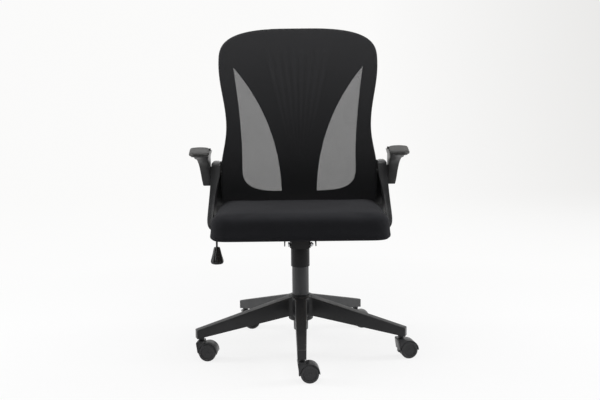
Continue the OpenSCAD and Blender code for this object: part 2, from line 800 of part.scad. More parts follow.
// Part of the back's curved body between two depths behind its face
module back_layer(front, rear) {
    span = 40;
    module band(radius, low, high) {
        intersection() {
            translate([wrap_radius + radius, lumbar_height]) difference() {
                circle(r = radius - front, $fn = 480);
                circle(r = radius - rear, $fn = 480);
            }
            translate([wrap_radius - 60, low]) square([260, high - low]);
        }
    }
    translate([0, wrap_axis, 0]) rotate(90 - span / 2) rotate_extrude(angle = span, $fn = 720) {
        band(upper_curve, lumbar_height, back_top + 20);
        band(lower_curve, back_bottom - 20, lumbar_height);
    }
}

module through_back() {
    along_y(0, 2 * lumbar_rear) children();
}

screw_places = [[212, 474], [212, 518]];
screw_head = 4.5; // radius of the bracket screws' heads

// Where a bracket screw's head sits, let a little into the wing
function screw_seat(p) = back_y(p[0], p[1], flange_depth + wing_thickness) - 1.5;

module back_shell() {
    color([0.1, 0.1, 0.105]) {
        difference() {
            union() {
                intersection() {
                    back_layer(0, panel_wall);
                    through_back() difference() {
                        back_outline();
                        windows();
                    }
                }
                // flange round the rim
                intersection() {
                    back_layer(-rim_bead, flange_depth);
                    through_back() difference() {
                        back_outline();
                        offset(delta = -panel_wall) back_outline();
                    }
                }
                // lip round each window
                intersection() {
                    back_layer(0, lip_depth);
                    through_back() difference() {
                        offset(delta = 3) windows();
                        windows();
                    }
                }
                // bosses for the bracket screws
                intersection() {
                    back_layer(1, flange_depth);
                    through_back() for (side = [-1, 1], p = screw_places)
                        translate([side * p[0], p[1]]) circle(r = 7);
                }
                // fan of ribs under the mesh
                intersection() {
                    back_layer(-rim_bead, 1);
                    through_back() for (k = [0:rib_count - 1]) let (place = k - (rib_count - 1) / 2)
                        polygon([[place * 5 - 1.5, 560], [place * 5 + 1.5, 560], [place * 24 + 5.5, 900],
                                 [place * 24 - 5.5, 900]]);
                }
            }
            for (side = [-1, 1], p = screw_places)
                translate([side * p[0], back_y(p[0], p[1], panel_wall), p[1]]) rotate([-90, 0, 0])
                    cylinder(r = 2, h = 30);
        }
    }
}

module back_mesh() {
    color([0.17, 0.17, 0.18]) intersection() {
        back_layer(-mesh_front, -rim_bead);
        through_back() back_outline();
    }
}

// Plastic strip behind the flange that grips the mesh's folded edge
module mesh_edge_strip() {
    color(nylon) intersection() {
        back_layer(flange_depth, flange_depth + 2);
        through_back() difference() {
            offset(delta = -0.5) back_outline();
            offset(delta = -panel_wall - 2) back_outline();
            for (side = [-1, 1]) translate([side * 220, (wing_low + wing_high) / 2])
                square([70, wing_high - wing_low + 2], center = true);
        }
    }
}

module back_screws() {
    color(steel) for (side = [-1, 1], p = screw_places) {
        translate([side * p[0], screw_seat(p), p[1]]) rotate([90, 0, 0]) {
            cylinder(r = 2, h = 16);
            translate([0, 0, -3]) cylinder(r = screw_head, h = 3);
        }
    }
}

// ---------------------------------------------------------------- side brackets

bracket_lean = 8; // how much nearer to the centre the bracket stands at its top
cap_inner = bracket_outer - bracket_lean - cap_width;
cap_front = 134;
cap_rear = 198;
bolt_start = cap_inner - 4; // inner end of the arm's pivot bolt

bracket_foot = seat_bottom - bracket_flange;

// Bracket seen from the front: an upright leg that turns in under the seat board
function bracket_section() = let (out = bracket_outer, in = bracket_outer - bracket_wall) eased([
    [out - bracket_lean, bracket_top], [out - bracket_lean / 2, bracket_top - 75], [out, bracket_top - 130],
    [out, bracket_foot + 28], [out - 8, bracket_foot + 7], [out - 28, bracket_foot],
    [150, bracket_foot], [150, seat_bottom], [in - 7, seat_bottom], [in, seat_bottom + 12],
    [in, bracket_top - 130], [in - 5, bracket_top - 75], [cap_inner + 1, bracket_top - 25],
    [cap_inner, bracket_top]], [0, 30, 30, 10, 10, 10, 3, 0, 5, 5, 25, 25, 10, 0]);

// Bracket seen from the side
function bracket_side() = eased([
    [20, bracket_foot], [20, seat_bottom + 8], [38, seat_bottom + 20], [74, seat_bottom + 48],
    [108, seat_bottom + 100], [126, arm_pivot_height], [cap_front, bracket_top],
    [cap_rear, bracket_top], [cap_rear + 5, bracket_top - 20], [cap_rear + 5, seat_bottom + 69],
    [186, seat_bottom + 28], [125, bracket_foot]], [4, 7, 18, 28, 30, 12, 0, 0, 9, 26, 30, 12]);

module side_bracket(side) {
    color(nylon) on_side(side) difference() {
        union() {
            intersection() {
                along_y(0, 230) polygon(bracket_section());
                along_x(140, 300) polygon(bracket_side());
            }
            // seat for the arm's hub
            bar_x(arm_hub_radius - 2, bracket_outer - bracket_lean - 12, arm_face - 0.5,
                  arm_pivot_rear, arm_pivot_height);
            // wing behind the back, following its curve
            intersection() {
                back_layer(flange_depth, flange_depth + wing_thickness);
                translate([wing_inner, 100, wing_low])
                    cube([bracket_outer - bracket_lean - 6 - wing_inner, 200, wing_high - wing_low]);
            }
        }
        bar_x(arm_bolt_radius, bolt_start - 6, arm_face + 1, arm_pivot_rear, arm_pivot_height);
        for (p = bracket_bolt_places) translate([p[0], p[1], 300]) cylinder(r = bolt_radius + 0.25, h = 90);
        for (p = screw_places) translate([p[0], 0, p[1]]) rotate([-90, 0, 0]) {
            translate([0, 0, 150]) cylinder(r = 2.25, h = 120);
            translate([0, 0, screw_seat(p)]) cylinder(r = screw_head + 0.4, h = 20);
        }
    }
}

module bracket_cap(side) {
    outer = cap_inner + cap_width;
    top = bracket_top + cap_height;
    color([0.22, 0.22, 0.225]) on_side(side) intersection() {
        along_y(0, 300) polygon([[cap_inner, bracket_top], [outer, bracket_top], [outer, top - 7],
            [outer - 3, top - 2], [outer - 8, top], [cap_inner + 8, top], [cap_inner + 3, top - 2],
            [cap_inner, top - 7]]);
        along_x(200, 300) polygon([[cap_front, bracket_top], [cap_rear, bracket_top],
            [cap_rear - 4, bracket_top + 8], [cap_rear - 18, top], [cap_front + 18, top],
            [cap_front + 4, bracket_top + 8]]);
    }
}

// ---------------------------------------------------------------- arms

arm_outer_top = 311; // where the post's outer face meets the tray
arm_inner_top = 271;
tray_thickness = 5;
tray_inset = 6;
arm_tail = 40;       // how far the post reaches below its pivot
counterbore = 17;    // depth in the post at which the pivot bolt's head sits

// Post seen from the front
function post_front() = let (under = pad_top - pad_thickness) eased([
    [arm_face, arm_pivot_height - arm_tail], [arm_face + 22, arm_pivot_height - arm_tail],
    [arm_face + 26, arm_pivot_height - 18], [arm_face + 31, arm_pivot_height + 30],
    [arm_outer_top - 1, under - 21], [arm_outer_top + 5, under - 19],
    [arm_outer_top + 5, under], [arm_inner_top, under],
    [arm_inner_top + 2, arm_pivot_height + 61], [arm_face, arm_pivot_height + 53]],
    [2, 4, 14, 16, 4, 2, 0, 0, 3, 3]);

// Post seen from the side
function post_side() = let (under = pad_top - pad_thickness) eased([
    [arm_pivot_rear - 14, arm_pivot_height - arm_tail], [arm_pivot_rear + 12, arm_pivot_height - arm_tail],
    [arm_pivot_rear + 21, arm_pivot_height - 12], [arm_pivot_rear + 20, arm_pivot_height + 16],
    [arm_pivot_rear + 12, under], [arm_pivot_rear - 130, under], [arm_pivot_rear - 84, under - 18],
    [arm_pivot_rear - 48, arm_pivot_height + 32], [arm_pivot_rear - 26, arm_pivot_height + 2],
    [arm_pivot_rear - 20, arm_pivot_height - 18]], [6, 8, 15, 20, 0, 0, 26, 20, 14, 12]);

// A pad's own place: its middle at the origin, its rear end turned outwards
module at_pad() {
    translate([pad_offset, pad_middle]) rotate(-pad_toe_in) children();
}

// Post with the tray that carries the pad
module arm_frame(side) {
    under = pad_top - pad_thickness;
    half = pad_width / 2 - tray_inset;
    reach = pad_length / 2 - tray_inset;
    front = 7 * tray_inset - pad_length / 2;
    color(nylon) on_side(side) difference() {
        union() {
            intersection() {
                along_y(-200, 250) polygon(post_front());
                along_x(200, 360) polygon(post_side());
            }
            translate([0, 0, under - tray_thickness]) linear_extrude(height = tray_thickness) at_pad() {
                translate([0, front + half]) circle(r = half);
                translate([-half, front + half]) square([2 * half, reach - front - half]);
            }
            // heel behind the pad
            translate([arm_inner_top + 3, arm_pivot_rear - 6, under - 1]) cube([26, 11, 7]);
        }
        bar_x(arm_bolt_radius + slack, arm_face - 1, arm_face + 40, arm_pivot_rear, arm_pivot_height);
        bar_x(arm_hub_radius - 8, arm_face + counterbore - 1, arm_face + 40,
              arm_pivot_rear, arm_pivot_height);
    }
}

module arm_pad(side) {
    edge = 4.5;
    heel = 20;
    half = pad_width / 2;
    module disc(x, y, r) {
        translate([x, y]) rotate_extrude($fn = 48) {
            square([r - 3, pad_thickness - 1]);
            translate([0, 2]) square([r, pad_thickness - edge - 2]);
            translate([r - edge, pad_thickness - edge]) circle(r = edge, $fn = 24);
        }
    }
    color([0.3, 0.3, 0.31]) on_side(side) translate([0, 0, pad_top - pad_thickness]) at_pad() hull() {
        disc(0, half - pad_length / 2, half);
        for (x = [-1, 1] * (half - heel)) disc(x, pad_length / 2 - heel, heel);
    }
}

module arm_pivot_bolts() {
    color(steel) for (side = SIDES) on_side(side) {
        bar_x(arm_bolt_radius, bolt_start, arm_face + counterbore, arm_pivot_rear, arm_pivot_height);
        bar_x(arm_bolt_radius + 4, arm_face + counterbore, arm_face + counterbore + 4,
              arm_pivot_rear, arm_pivot_height);
    }
}

// ---------------------------------------------------------------- nodes

star_base();
hub_ring();
column_tube();
guide_bush();
thrust_bearing();
rod_clip();
buffer_ring();
piston_rod();
gas_cylinder();
valve_pin();
column_sleeve();
caster_stems();
for (i = [1:leg_count]) {
    caster_hood(i);
    caster_axle(i);
    caster_wheel(i, 1);
    caster_wheel(i, -1);
}
mechanism_housing();
tilt_pivot_bolt();
tilt_spring();
spring_seat();
tension_knob();
release_rocker();
lever_rod();
lever_grip();
seat_plate();
seat_board();
seat_cushion();
seat_bolts();
bracket_bolts();
arm_pivot_bolts();
back_shell();
back_mesh();
mesh_edge_strip();
back_screws();
for (s = SIDES) {
    side_bracket(s);
    bracket_cap(s);
    arm_frame(s);
    arm_pad(s);
}
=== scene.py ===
"""Looks for a swivel office chair: mesh back, flip-up arms, tilt mechanism and gas lift.

Metres, swivel axis at the origin, floor at z = 0, the sitter faces -Y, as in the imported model.
The sections follow the chair as it is put together, from the star base up to the back and the
brackets that carry it.
"""
import json
import math

import bpy
import numpy as np
from mathutils import Matrix, Vector

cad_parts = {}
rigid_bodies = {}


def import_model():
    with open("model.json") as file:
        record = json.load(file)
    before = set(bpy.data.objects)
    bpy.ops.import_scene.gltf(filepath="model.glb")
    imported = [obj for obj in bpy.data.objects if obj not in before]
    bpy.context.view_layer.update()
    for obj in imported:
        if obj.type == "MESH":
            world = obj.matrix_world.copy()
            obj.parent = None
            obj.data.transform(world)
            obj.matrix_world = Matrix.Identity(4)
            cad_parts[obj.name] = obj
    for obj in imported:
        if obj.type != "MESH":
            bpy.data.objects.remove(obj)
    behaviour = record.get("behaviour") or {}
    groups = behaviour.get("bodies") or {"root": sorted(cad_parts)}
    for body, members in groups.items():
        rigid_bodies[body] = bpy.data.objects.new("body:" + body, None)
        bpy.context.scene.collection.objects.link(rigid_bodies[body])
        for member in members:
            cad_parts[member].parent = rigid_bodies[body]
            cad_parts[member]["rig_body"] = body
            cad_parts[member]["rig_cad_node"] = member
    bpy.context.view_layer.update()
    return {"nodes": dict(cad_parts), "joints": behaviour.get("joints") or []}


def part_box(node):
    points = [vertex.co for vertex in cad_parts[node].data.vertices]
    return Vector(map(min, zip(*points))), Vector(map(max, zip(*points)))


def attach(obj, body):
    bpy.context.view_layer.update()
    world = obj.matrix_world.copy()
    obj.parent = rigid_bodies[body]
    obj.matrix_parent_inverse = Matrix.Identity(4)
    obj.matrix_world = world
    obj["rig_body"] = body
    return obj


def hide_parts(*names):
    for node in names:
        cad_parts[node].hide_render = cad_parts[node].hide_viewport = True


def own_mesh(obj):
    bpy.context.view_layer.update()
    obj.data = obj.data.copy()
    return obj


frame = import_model()

# ---------------------------------------------------------------- star base
# One glass-filled nylon moulding: five tapering legs that flow into each other round a hub.
# Each leg is open underneath, with cross ribs, and ends in a round socket for a caster stem.


class Signal:
    """One output socket of a material. Arithmetic on it adds Math nodes."""

    def __init__(self, finish, socket):
        self.finish, self.socket = finish, socket

    def math(self, operation, *values):
        return self.finish.node("Math", {"operation": operation}, dict(enumerate(values)))

    def __add__(self, other):
        return self.math("ADD", self, other)

    def __sub__(self, other):
        return self.math("SUBTRACT", self, other)

    def __rsub__(self, other):
        return self.math("SUBTRACT", other, self)

    def __mul__(self, other):
        return self.math("MULTIPLY", self, other)

    def __truediv__(self, other):
        return self.math("DIVIDE", self, other)

    def __pow__(self, other):
        return self.math("POWER", self, other)

    def __gt__(self, other):
        return self.math("GREATER_THAN", self, other)

    __radd__, __rmul__ = __add__, __mul__

    def sine(self):
        return self.math("SINE", self)

    def size(self):
        return self.math("ABSOLUTE", self)


class Finish:
    """A material under construction, round one Principled BSDF."""

    def __init__(self, name, colour, roughness, metallic=0.0, **fixed):
        self.material = bpy.data.materials.new(name)
        self.material.use_nodes = True
        self.tree = self.material.node_tree
        self.surface = self.tree.nodes["Principled BSDF"]
        self.surface.inputs["Base Color"].default_value = (*colour, 1)
        self.surface.inputs["Roughness"].default_value = roughness
        self.surface.inputs["Metallic"].default_value = metallic
        for key, value in fixed.items():
            self.surface.inputs[key.replace("_", " ")].default_value = value

    def node(self, kind, settings=None, sockets=None, output=0):
        """Adds a node: its settings first, then the values or links of its sockets."""
        node = self.tree.nodes.new("ShaderNode" + kind)
        for key, value in (settings or {}).items():
            setattr(node, key, value)
        for key, value in (sockets or {}).items():
            self.feed(node.inputs[key], value)
        return Signal(self, node.outputs[output])

    def feed(self, socket, value):
        """Gives a socket a link, a colour or a number."""
        if isinstance(value, Signal):
            self.tree.links.new(value.socket, socket)
        elif socket.type == "RGBA":
            socket.default_value = (*value, 1)
        else:
            socket.default_value = value

    def set(self, name, value):
        """Links a signal to one socket of the surface shader."""
        self.feed(self.surface.inputs[name], value)

    def place(self):
        """The place on the surface, in metres."""
        return self.node("TexCoord", output="Object")

    def axes(self, vector):
        """The three parts of a vector."""
        split = self.node("SeparateXYZ", sockets={"Vector": vector})
        return [Signal(self, socket) for socket in split.socket.node.outputs]

    def noise(self, scale, detail=2.0, stretch=(1, 1, 1)):
        """Noise between 0 and 1, in cells per metre, on the object's own coordinates."""
        vector = self.place()
        if stretch != (1, 1, 1):
            vector = self.node("VectorMath", {"operation": "MULTIPLY"}, {0: vector, 1: stretch})
        return self.node("TexNoise", sockets={"Vector": vector, "Scale": scale, "Detail": detail})

    def mix(self, factor, first, second):
        """A colour between two colours."""
        return self.node("Mix", {"data_type": "RGBA"}, {0: factor, 6: first, 7: second}, output=2)

    def between(self, value, low, high, start=0.0, end=1.0):
        """The value, stretched from low..high to start..end and held there."""
        sockets = {"Value": value, "From Min": low, "From Max": high, "To Min": start, "To Max": end}
        return self.node("MapRange", {"clamp": True}, sockets)

    def bump(self, height, depth, strength=1.0):
        """Relief on the surface; depth is in metres for a height of 1."""
        sockets = {"Height": height, "Distance": depth, "Strength": strength}
        self.set("Normal", self.node("Bump", sockets=sockets))


def shade(colour, factor):
    """The colour, so many times as bright."""
    return tuple(part * factor for part in colour)


def moulded(name, colour, roughness, grain=1100, relief=0.00002, gloss=0.36):
    """Moulded plastic with a fine spark-eroded grain, faint flow marks and slightly polished patches."""
    finish = Finish(name, colour, roughness, Specular_IOR_Level=gloss)
    flow = finish.noise(9, detail=3, stretch=(1, 1, 0.4))
    fine = finish.noise(grain, detail=1)
    tone = finish.between(flow * 0.7 + fine * 0.3, 0.35, 0.65)
    finish.set("Base Color", finish.mix(tone, shade(colour, 0.86), shade(colour, 1.14)))
    polish = finish.noise(34, detail=3)
    finish.set("Roughness", finish.between(polish, 0.3, 0.7, roughness - 0.05, roughness + 0.06))
    finish.bump(fine, relief)
    return finish.material


def bare():
    """Back to object mode with nothing selected."""
    if bpy.context.mode != "OBJECT":
        bpy.ops.object.mode_set(mode="OBJECT")
    bpy.ops.object.select_all(action="DESELECT")


def only(*pieces):
    """Selects these objects and nothing else; the first one is the active one."""
    bare()
    for piece in pieces:
        piece.select_set(True)
    bpy.context.view_layer.objects.active = pieces[0]


def pick(piece, kind, test):
    """Goes into edit mode on a piece with the faces, edges or vertices selected that pass a test.
    The test gets a face's middle and normal, an edge's two ends, or a vertex's place."""
    only(piece)
    mesh = piece.data
    for parts in (mesh.vertices, mesh.edges, mesh.polygons):
        parts.foreach_set("select", [False] * len(parts))
    if kind == "FACE":
        found = [face for face in mesh.polygons if test(face.center, face.normal)]
    elif kind == "EDGE":
        found = [edge for edge in mesh.edges if test(*[mesh.vertices[v].co for v in edge.vertices])]
    else:
        found = [vertex for vertex in mesh.vertices if test(vertex.co)]
    for part in found:
        part.select = True
    if kind == "EDGE":
        for edge in found:
            for v in edge.vertices:
                mesh.vertices[v].select = True
    bpy.context.tool_settings.mesh_select_mode = (kind == "VERT", kind == "EDGE", kind == "FACE")
    bpy.ops.object.mode_set(mode="EDIT")
    return len(found)


def settle(piece, name):
    """Names a piece and applies its object's place to its mesh."""
    only(piece)
    bpy.ops.object.transform_apply(location=True, rotation=True, scale=True)
    piece.name = piece.data.name = name
    return piece


def modify(piece, kind, **settings):
    """Adds a modifier with these settings and applies it."""
    only(piece)
    modifier = piece.modifiers.new(kind.title(), kind)
    for key, value in settings.items():
        setattr(modifier, key, value)
    bpy.ops.object.modifier_apply(modifier=modifier.name)


def joined(name, pieces):
    """Several objects as one piece."""
    only(*pieces)
    if len(pieces) > 1:
        bpy.ops.object.join()
    return settle(pieces[0], name)


def copied(piece, matrix):
    """A copy of a piece with its own mesh, moved by a matrix."""
    twin = piece.copy()
    twin.data = piece.data.copy()
    twin.data.transform(matrix)
    bpy.context.collection.objects.link(twin)
    return twin


def drawn(name, points, closed=False):
    """A line through points, as a mesh of edges, in edit mode with all of it selected."""
    count = len(points)
    edges = [(k, (k + 1) % count) for k in range(count if closed else count - 1)]
    mesh = bpy.data.meshes.new(name)
    mesh.from_pydata(points, edges, [])
    piece = bpy.data.objects.new(name, mesh)
    bpy.context.collection.objects.link(piece)
    only(piece)
    bpy.ops.object.mode_set(mode="EDIT")
    bpy.ops.mesh.select_all(action="SELECT")
    return piece


def tidied(piece, gap=1e-6):
    """Merges a piece's doubles and points its faces outwards."""
    only(piece)
    bpy.ops.object.mode_set(mode="EDIT")
    bpy.ops.mesh.select_all(action="SELECT")
    bpy.ops.mesh.remove_doubles(threshold=gap)
    bpy.ops.mesh.normals_make_consistent(inside=False)
    bare()
    return piece


def turned(name, outline, steps=64, closed=False):
    """A piece turned about the Z axis from an outline of (radius, height) points."""
    piece = drawn(name, [(radius, 0, height) for radius, height in outline], closed)
    bpy.ops.mesh.spin(steps=steps, angle=2 * math.pi, center=(0, 0, 0), axis=(0, 0, 1))
    return tidied(piece)


def rounded(corners, radii, steps=4):
    """The outline's corners, each eased over its own length along both of its edges."""
    points = []
    for k, (corner, radius) in enumerate(zip(corners, radii)):
        here = Vector(corner)
        before, after = Vector(corners[k - 1]) - here, Vector(corners[(k + 1) % len(corners)]) - here
        reach = min(radius, 0.48 * before.length, 0.48 * after.length)
        if reach <= 0:
            points.append(tuple(here))
            continue
        start, end = here + before.normalized() * reach, here + after.normalized() * reach
        for step in range(steps + 1):
            t = step / steps
            points.append(tuple(start * (1 - t) ** 2 + here * 2 * t * (1 - t) + end * t ** 2))
    return points


def smooth(piece, degrees=35):
    """Smooth shading that keeps the edges sharper than this."""
    only(piece)
    bpy.ops.object.shade_smooth_by_angle(angle=math.radians(degrees))
    return piece


def dress(piece, body, slot, material, *nodes):
    """Gives a piece its material, the body it rides on and the CAD nodes it stands for."""
    piece.data.materials.clear()
    piece.data.materials.append(material)
    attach(piece, body)
    if nodes:
        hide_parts(*nodes)


def radial(angle):
    """A turn about the swivel axis, in degrees."""
    return Matrix.Rotation(math.radians(angle), 4, "Z")


base_low, base_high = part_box("star_base")
leg_count = 5
leg_reach = -base_low.y
hub_top = base_high.z
hub_radius, hub_bottom = 0.037, 0.094
hub_bore = 0.031               # where the steel ring sits
hub_ring_low, hub_ring_top = hub_top - 0.050, hub_top - 0.005
hub_mouth, ring_step, hub_foot = 0.0256, 0.0238, 0.0228  # radii of the hole for the column
hub_skin = 0.003               # how far the legs run into the hub's wall
ridge_start = hub_radius - 0.012  # where a leg's ridge is leg_root_top high
leg_root_top, leg_tip_top = hub_top - 0.001, 0.091
leg_root_bottom, leg_tip_bottom = 0.116, 0.0645
leg_half_root, leg_half_tip = 0.019, 0.01225
leg_fillet = 0.016             # between two legs at the hub
leg_floor_edge, leg_top_edge, leg_end_edge = 0.0012, 0.0042, 0.002
bay_count, bay_wall, bay_roof = 4, 0.004, 0.008
bay_block, bay_hub_gap, bay_socket_gap = 0.16, 0.012, 0.0175
socket_place, socket_low, socket_outer, socket_height = 0.307, base_low.z, 0.0085, 0.017
stem_bore = 0.0053

nylon = (0.0205, 0.0208, 0.0222)
base_plastic = moulded("glass_filled_nylon", nylon, 0.42)


def near(value, target, gap=2e-5):
    """Whether two lengths are the same but for rounding."""
    return abs(value - target) < gap


def on_seam(point):
    """Whether a point stands on the plane between two legs."""
    return near(abs(point.x), -point.y * math.tan(math.pi / leg_count), 1e-4)


def bevelled(piece, test, width, segments):
    """Rounds over the edges whose two ends pass a test."""
    if pick(piece, "EDGE", test):
        bpy.ops.mesh.bevel(offset=width, segments=segments, profile=0.6, clamp_overlap=True)
    bare()


def boolean(piece, cutter, operation):
    """Joins a piece with another solid, or cuts that solid out of it."""
    modify(piece, "BOOLEAN", object=cutter, operation=operation, solver="EXACT", use_self=False)
    bpy.data.objects.remove(cutter)


def leg_half(reach):
    """Half the width of a leg, so far from the swivel axis."""
    return leg_half_root - (leg_half_root - leg_half_tip) * reach / leg_reach


def leg_top(reach):
    """Height of a leg's upper ridge."""
    fall = (reach - ridge_start) / (leg_reach - ridge_start)
    return leg_root_top - (leg_root_top - leg_tip_top) * fall


def leg_bottom(reach):
    """Height of a leg's lower edge."""
    return leg_root_bottom - (leg_root_bottom - leg_tip_bottom) * reach / leg_reach


def leg_sector():
    """One leg along -Y with its share of the hub, seen from above as a fifth of the star."""
    seam = math.pi / leg_count
    taper = math.atan((leg_half_root - leg_half_tip) / leg_reach)
    corner = leg_half_root / (math.tan(seam) + math.tan(taper))
    opening = seam + taper
    far = leg_fillet / math.sin(opening)
    side = []
    middle = Vector((corner, corner * math.tan(seam))) + far * Vector((math.cos(seam), math.sin(seam)))
    for step in range(7):
        angle = math.pi + seam + (math.pi / 2 - opening) * step / 6
        side.append((middle.x + leg_fillet * math.cos(angle), middle.y + leg_fillet * math.sin(angle)))
    side.append((leg_reach, leg_half_tip))
    outline = [(0.0, 0.0)] + side + [(x, -y) for x, y in reversed(side)]
    leg = drawn("leg", [(y, -x, leg_tip_bottom - 0.01) for x, y in outline], closed=True)
    bpy.ops.mesh.edge_face_add()
    bpy.ops.mesh.extrude_region_move(TRANSFORM_OT_translate={"value": (0, 0, hub_top)})
    slope = (leg_top(0) - leg_tip_top) / leg_reach
    bpy.ops.mesh.select_all(action="SELECT")
    bpy.ops.mesh.bisect(plane_co=(0, -leg_reach, leg_tip_top), plane_no=(0, -slope, 1),
                        use_fill=True, clear_outer=True)
    slope = (leg_root_bottom - leg_tip_bottom) / leg_reach
    bpy.ops.mesh.select_all(action="SELECT")
    bpy.ops.mesh.bisect(plane_co=(0, -leg_reach, leg_tip_bottom), plane_no=(0, -slope, 1),
                        use_fill=True, clear_inner=True)
    return tidied(leg)


leg = leg_sector()
pick(leg, "FACE", lambda middle, normal: on_seam(middle) and abs(normal.z) < 0.01)
bpy.ops.mesh.delete(type="FACE")
for height, width, segments in ((leg_top, leg_top_edge, 4), (leg_bottom, leg_floor_edge, 2)):
    bevelled(leg, lambda a, b: (all(near(p.z, height(-p.y)) for p in (a, b))
                                and not (on_seam(a) and on_seam(b))), width, segments)
bevelled(leg, lambda a, b: all(near(p.y, -leg_reach) for p in (a, b)) and abs(a.z - b.z) > 0.015,
         leg_end_edge, 3)

star = joined("star_base_moulding", [copied(leg, radial(k * 360 / leg_count)) for k in range(leg_count)])
bpy.data.objects.remove(leg)
tidied(star, 2e-5)

bpy.ops.mesh.primitive_cylinder_add(vertices=96, radius=hub_radius - hub_skin, depth=0.3,
                                    location=(0, 0, 0.1))
boolean(star, bpy.context.object, "DIFFERENCE")
hub = turned("hub", rounded(
    [(hub_foot, hub_bottom), (hub_radius, hub_bottom), (hub_radius, hub_top), (hub_mouth, hub_top),
     (hub_mouth, hub_ring_top), (hub_bore, hub_ring_top), (hub_bore, hub_ring_low),
     (ring_step, hub_ring_low)],
    [0.0004, 0.007, 0.008, 0.001, 0, 0, 0, 0], 6), 96, closed=True)
boolean(star, hub, "UNION")


def bay(first, last):
    """Solid of one open bay under a leg."""
    bpy.ops.mesh.primitive_cube_add(size=1, location=(0, -(first + last) / 2, bay_block / 2),
                                    scale=(1, last - first, bay_block))
    block = settle(bpy.context.object, "bay")
    for reach in (first, last):
        pick(block, "VERT", lambda point: near(-point.y, reach))
        bpy.ops.transform.resize(value=(2 * (leg_half(reach) - bay_wall), 1, 1), center_override=(0, 0, 0))
        pick(block, "VERT", lambda point: near(-point.y, reach) and point.z > 0.1)
        bpy.ops.transform.translate(value=(0, 0, leg_top(reach) - bay_roof - bay_block))
    bevelled(block, lambda a, b: abs(a.z - b.z) > 0.05 or min(a.z, b.z) > 0.06, 0.002, 2)
    return block


bay_first, bay_last = hub_radius + bay_hub_gap, socket_place - bay_socket_gap
bay_step = (bay_last - bay_first + bay_wall) / bay_count
bays = joined("bays", [bay(bay_first + k * bay_step, bay_first + (k + 1) * bay_step - bay_wall)
                       for k in range(bay_count)])
socket = turned("socket", rounded(
    [(stem_bore, socket_low), (socket_outer, socket_low), (socket_outer, socket_low + socket_height),
     (stem_bore, socket_low + socket_height)], [0.0006, 0.0015, 0, 0]), 48, closed=True)
socket.data.transform(Matrix.Translation((0, -socket_place, 0)))
bpy.ops.mesh.primitive_cylinder_add(vertices=48, radius=stem_bore, depth=0.08,
                                    location=(0, -socket_place, 0.042))
bore = settle(bpy.context.object, "bore")
for k in range(leg_count):
    turn = radial(k * 360 / leg_count)
    boolean(star, copied(bays, turn), "DIFFERENCE")
    boolean(star, copied(socket, turn), "UNION")
    boolean(star, copied(bore, turn), "DIFFERENCE")
for cutter in (bays, socket, bore):
    bpy.data.objects.remove(cutter)
smooth(star, 38)
dress(star, "base", "nylon", base_plastic, "star_base")

# ---------------------------------------------------------------- column
# Welded steel tube with a powder coat, pressed into a zinc ring in the hub, and a plastic sleeve
# that hangs from the tilt mechanism and covers the gas cylinder.

tube_low, tube_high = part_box("column_tube")
tube_radius, tube_foot, tube_wall = tube_high.x, 0.0213, 0.0025
clip_hole, tube_floor = 0.006, 0.008   # the hole for the rod's foot, and how thick the floor is
sleeve_low, sleeve_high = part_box("column_sleeve")
sleeve_radius, sleeve_wall, sleeve_roof, sleeve_neck = sleeve_high.x, 0.002, 0.003, 0.019


def powder_coated(name, colour, roughness=0.38, texture=420, relief=0.00003, gloss=0.5):
    """Baked powder coat on steel: a slight orange peel with a satin shine."""
    finish = Finish(name, colour, roughness, Specular_IOR_Level=gloss)
    peel = finish.noise(texture, detail=2)
    patches = finish.noise(11, detail=3)
    tone = finish.between(patches, 0.35, 0.65)
    dull = finish.between(patches + peel * 0.3, 0.4, 0.9, roughness - 0.04, roughness + 0.07)
    finish.set("Base Color", finish.mix(tone, shade(colour, 0.9), shade(colour, 1.1)))
    finish.set("Roughness", dull)
    finish.bump(peel, relief)
    return finish.material


def plated(name, colour, roughness=0.28):
    """Bright zinc plate, drawn lengthways, with a few dull spots."""
    finish = Finish(name, colour, roughness, 1.0)
    spots = finish.noise(160, detail=4)
    drawn_marks = finish.noise(60, detail=2, stretch=(30, 30, 1))
    finish.set("Base Color", finish.mix(finish.between(spots, 0.3, 0.7), shade(colour, 0.82), colour))
    dull = finish.between(spots * 0.6 + drawn_marks * 0.4, 0.35, 0.65, roughness - 0.06, roughness + 0.12)
    finish.set("Roughness", dull)
    finish.bump(drawn_marks, 0.000008)
    return finish.material


tube_coat = powder_coated("column_powder_coat", (0.032, 0.033, 0.036), 0.34)
sleeve_plastic = moulded("sleeve_plastic", (0.0080, 0.0081, 0.0084), 0.30, gloss=0.2)
zinc = plated("zinc_plate", (0.62, 0.63, 0.65))
rubber = moulded("black_rubber", (0.012, 0.012, 0.012), 0.7, grain=600, relief=0.00004)
acetal = moulded("white_acetal", (0.71, 0.70, 0.66), 0.32, relief=0.00001)

tube = turned("column_tube_drawn", rounded(
    [(clip_hole, tube_low.z), (tube_foot, tube_low.z), (tube_radius, hub_top), (tube_radius, tube_high.z),
     (tube_radius - tube_wall, tube_high.z), (tube_radius - tube_wall, hub_top),
     (tube_foot - tube_wall, tube_low.z + tube_floor), (clip_hole, tube_low.z + tube_floor)],
    [0.0004, 0.003, 0.004, 0.0008, 0.0006, 0.004, 0, 0]), 96, closed=True)
dress(smooth(tube), "base", "black_steel", tube_coat, "column_tube")

sleeve = turned("column_sleeve_moulding", rounded(
    [(sleeve_radius, sleeve_low.z), (sleeve_radius, sleeve_high.z), (sleeve_neck, sleeve_high.z),
     (sleeve_neck, sleeve_high.z - sleeve_roof), (sleeve_radius - sleeve_wall, sleeve_high.z - sleeve_roof),
     (sleeve_radius - sleeve_wall, sleeve_low.z)],
    [0.0008, 0.0035, 0.0005, 0, 0.001, 0.0005]), 96, closed=True)
dress(smooth(sleeve), "lift", "sleeve_plastic", sleeve_plastic, "column_sleeve")


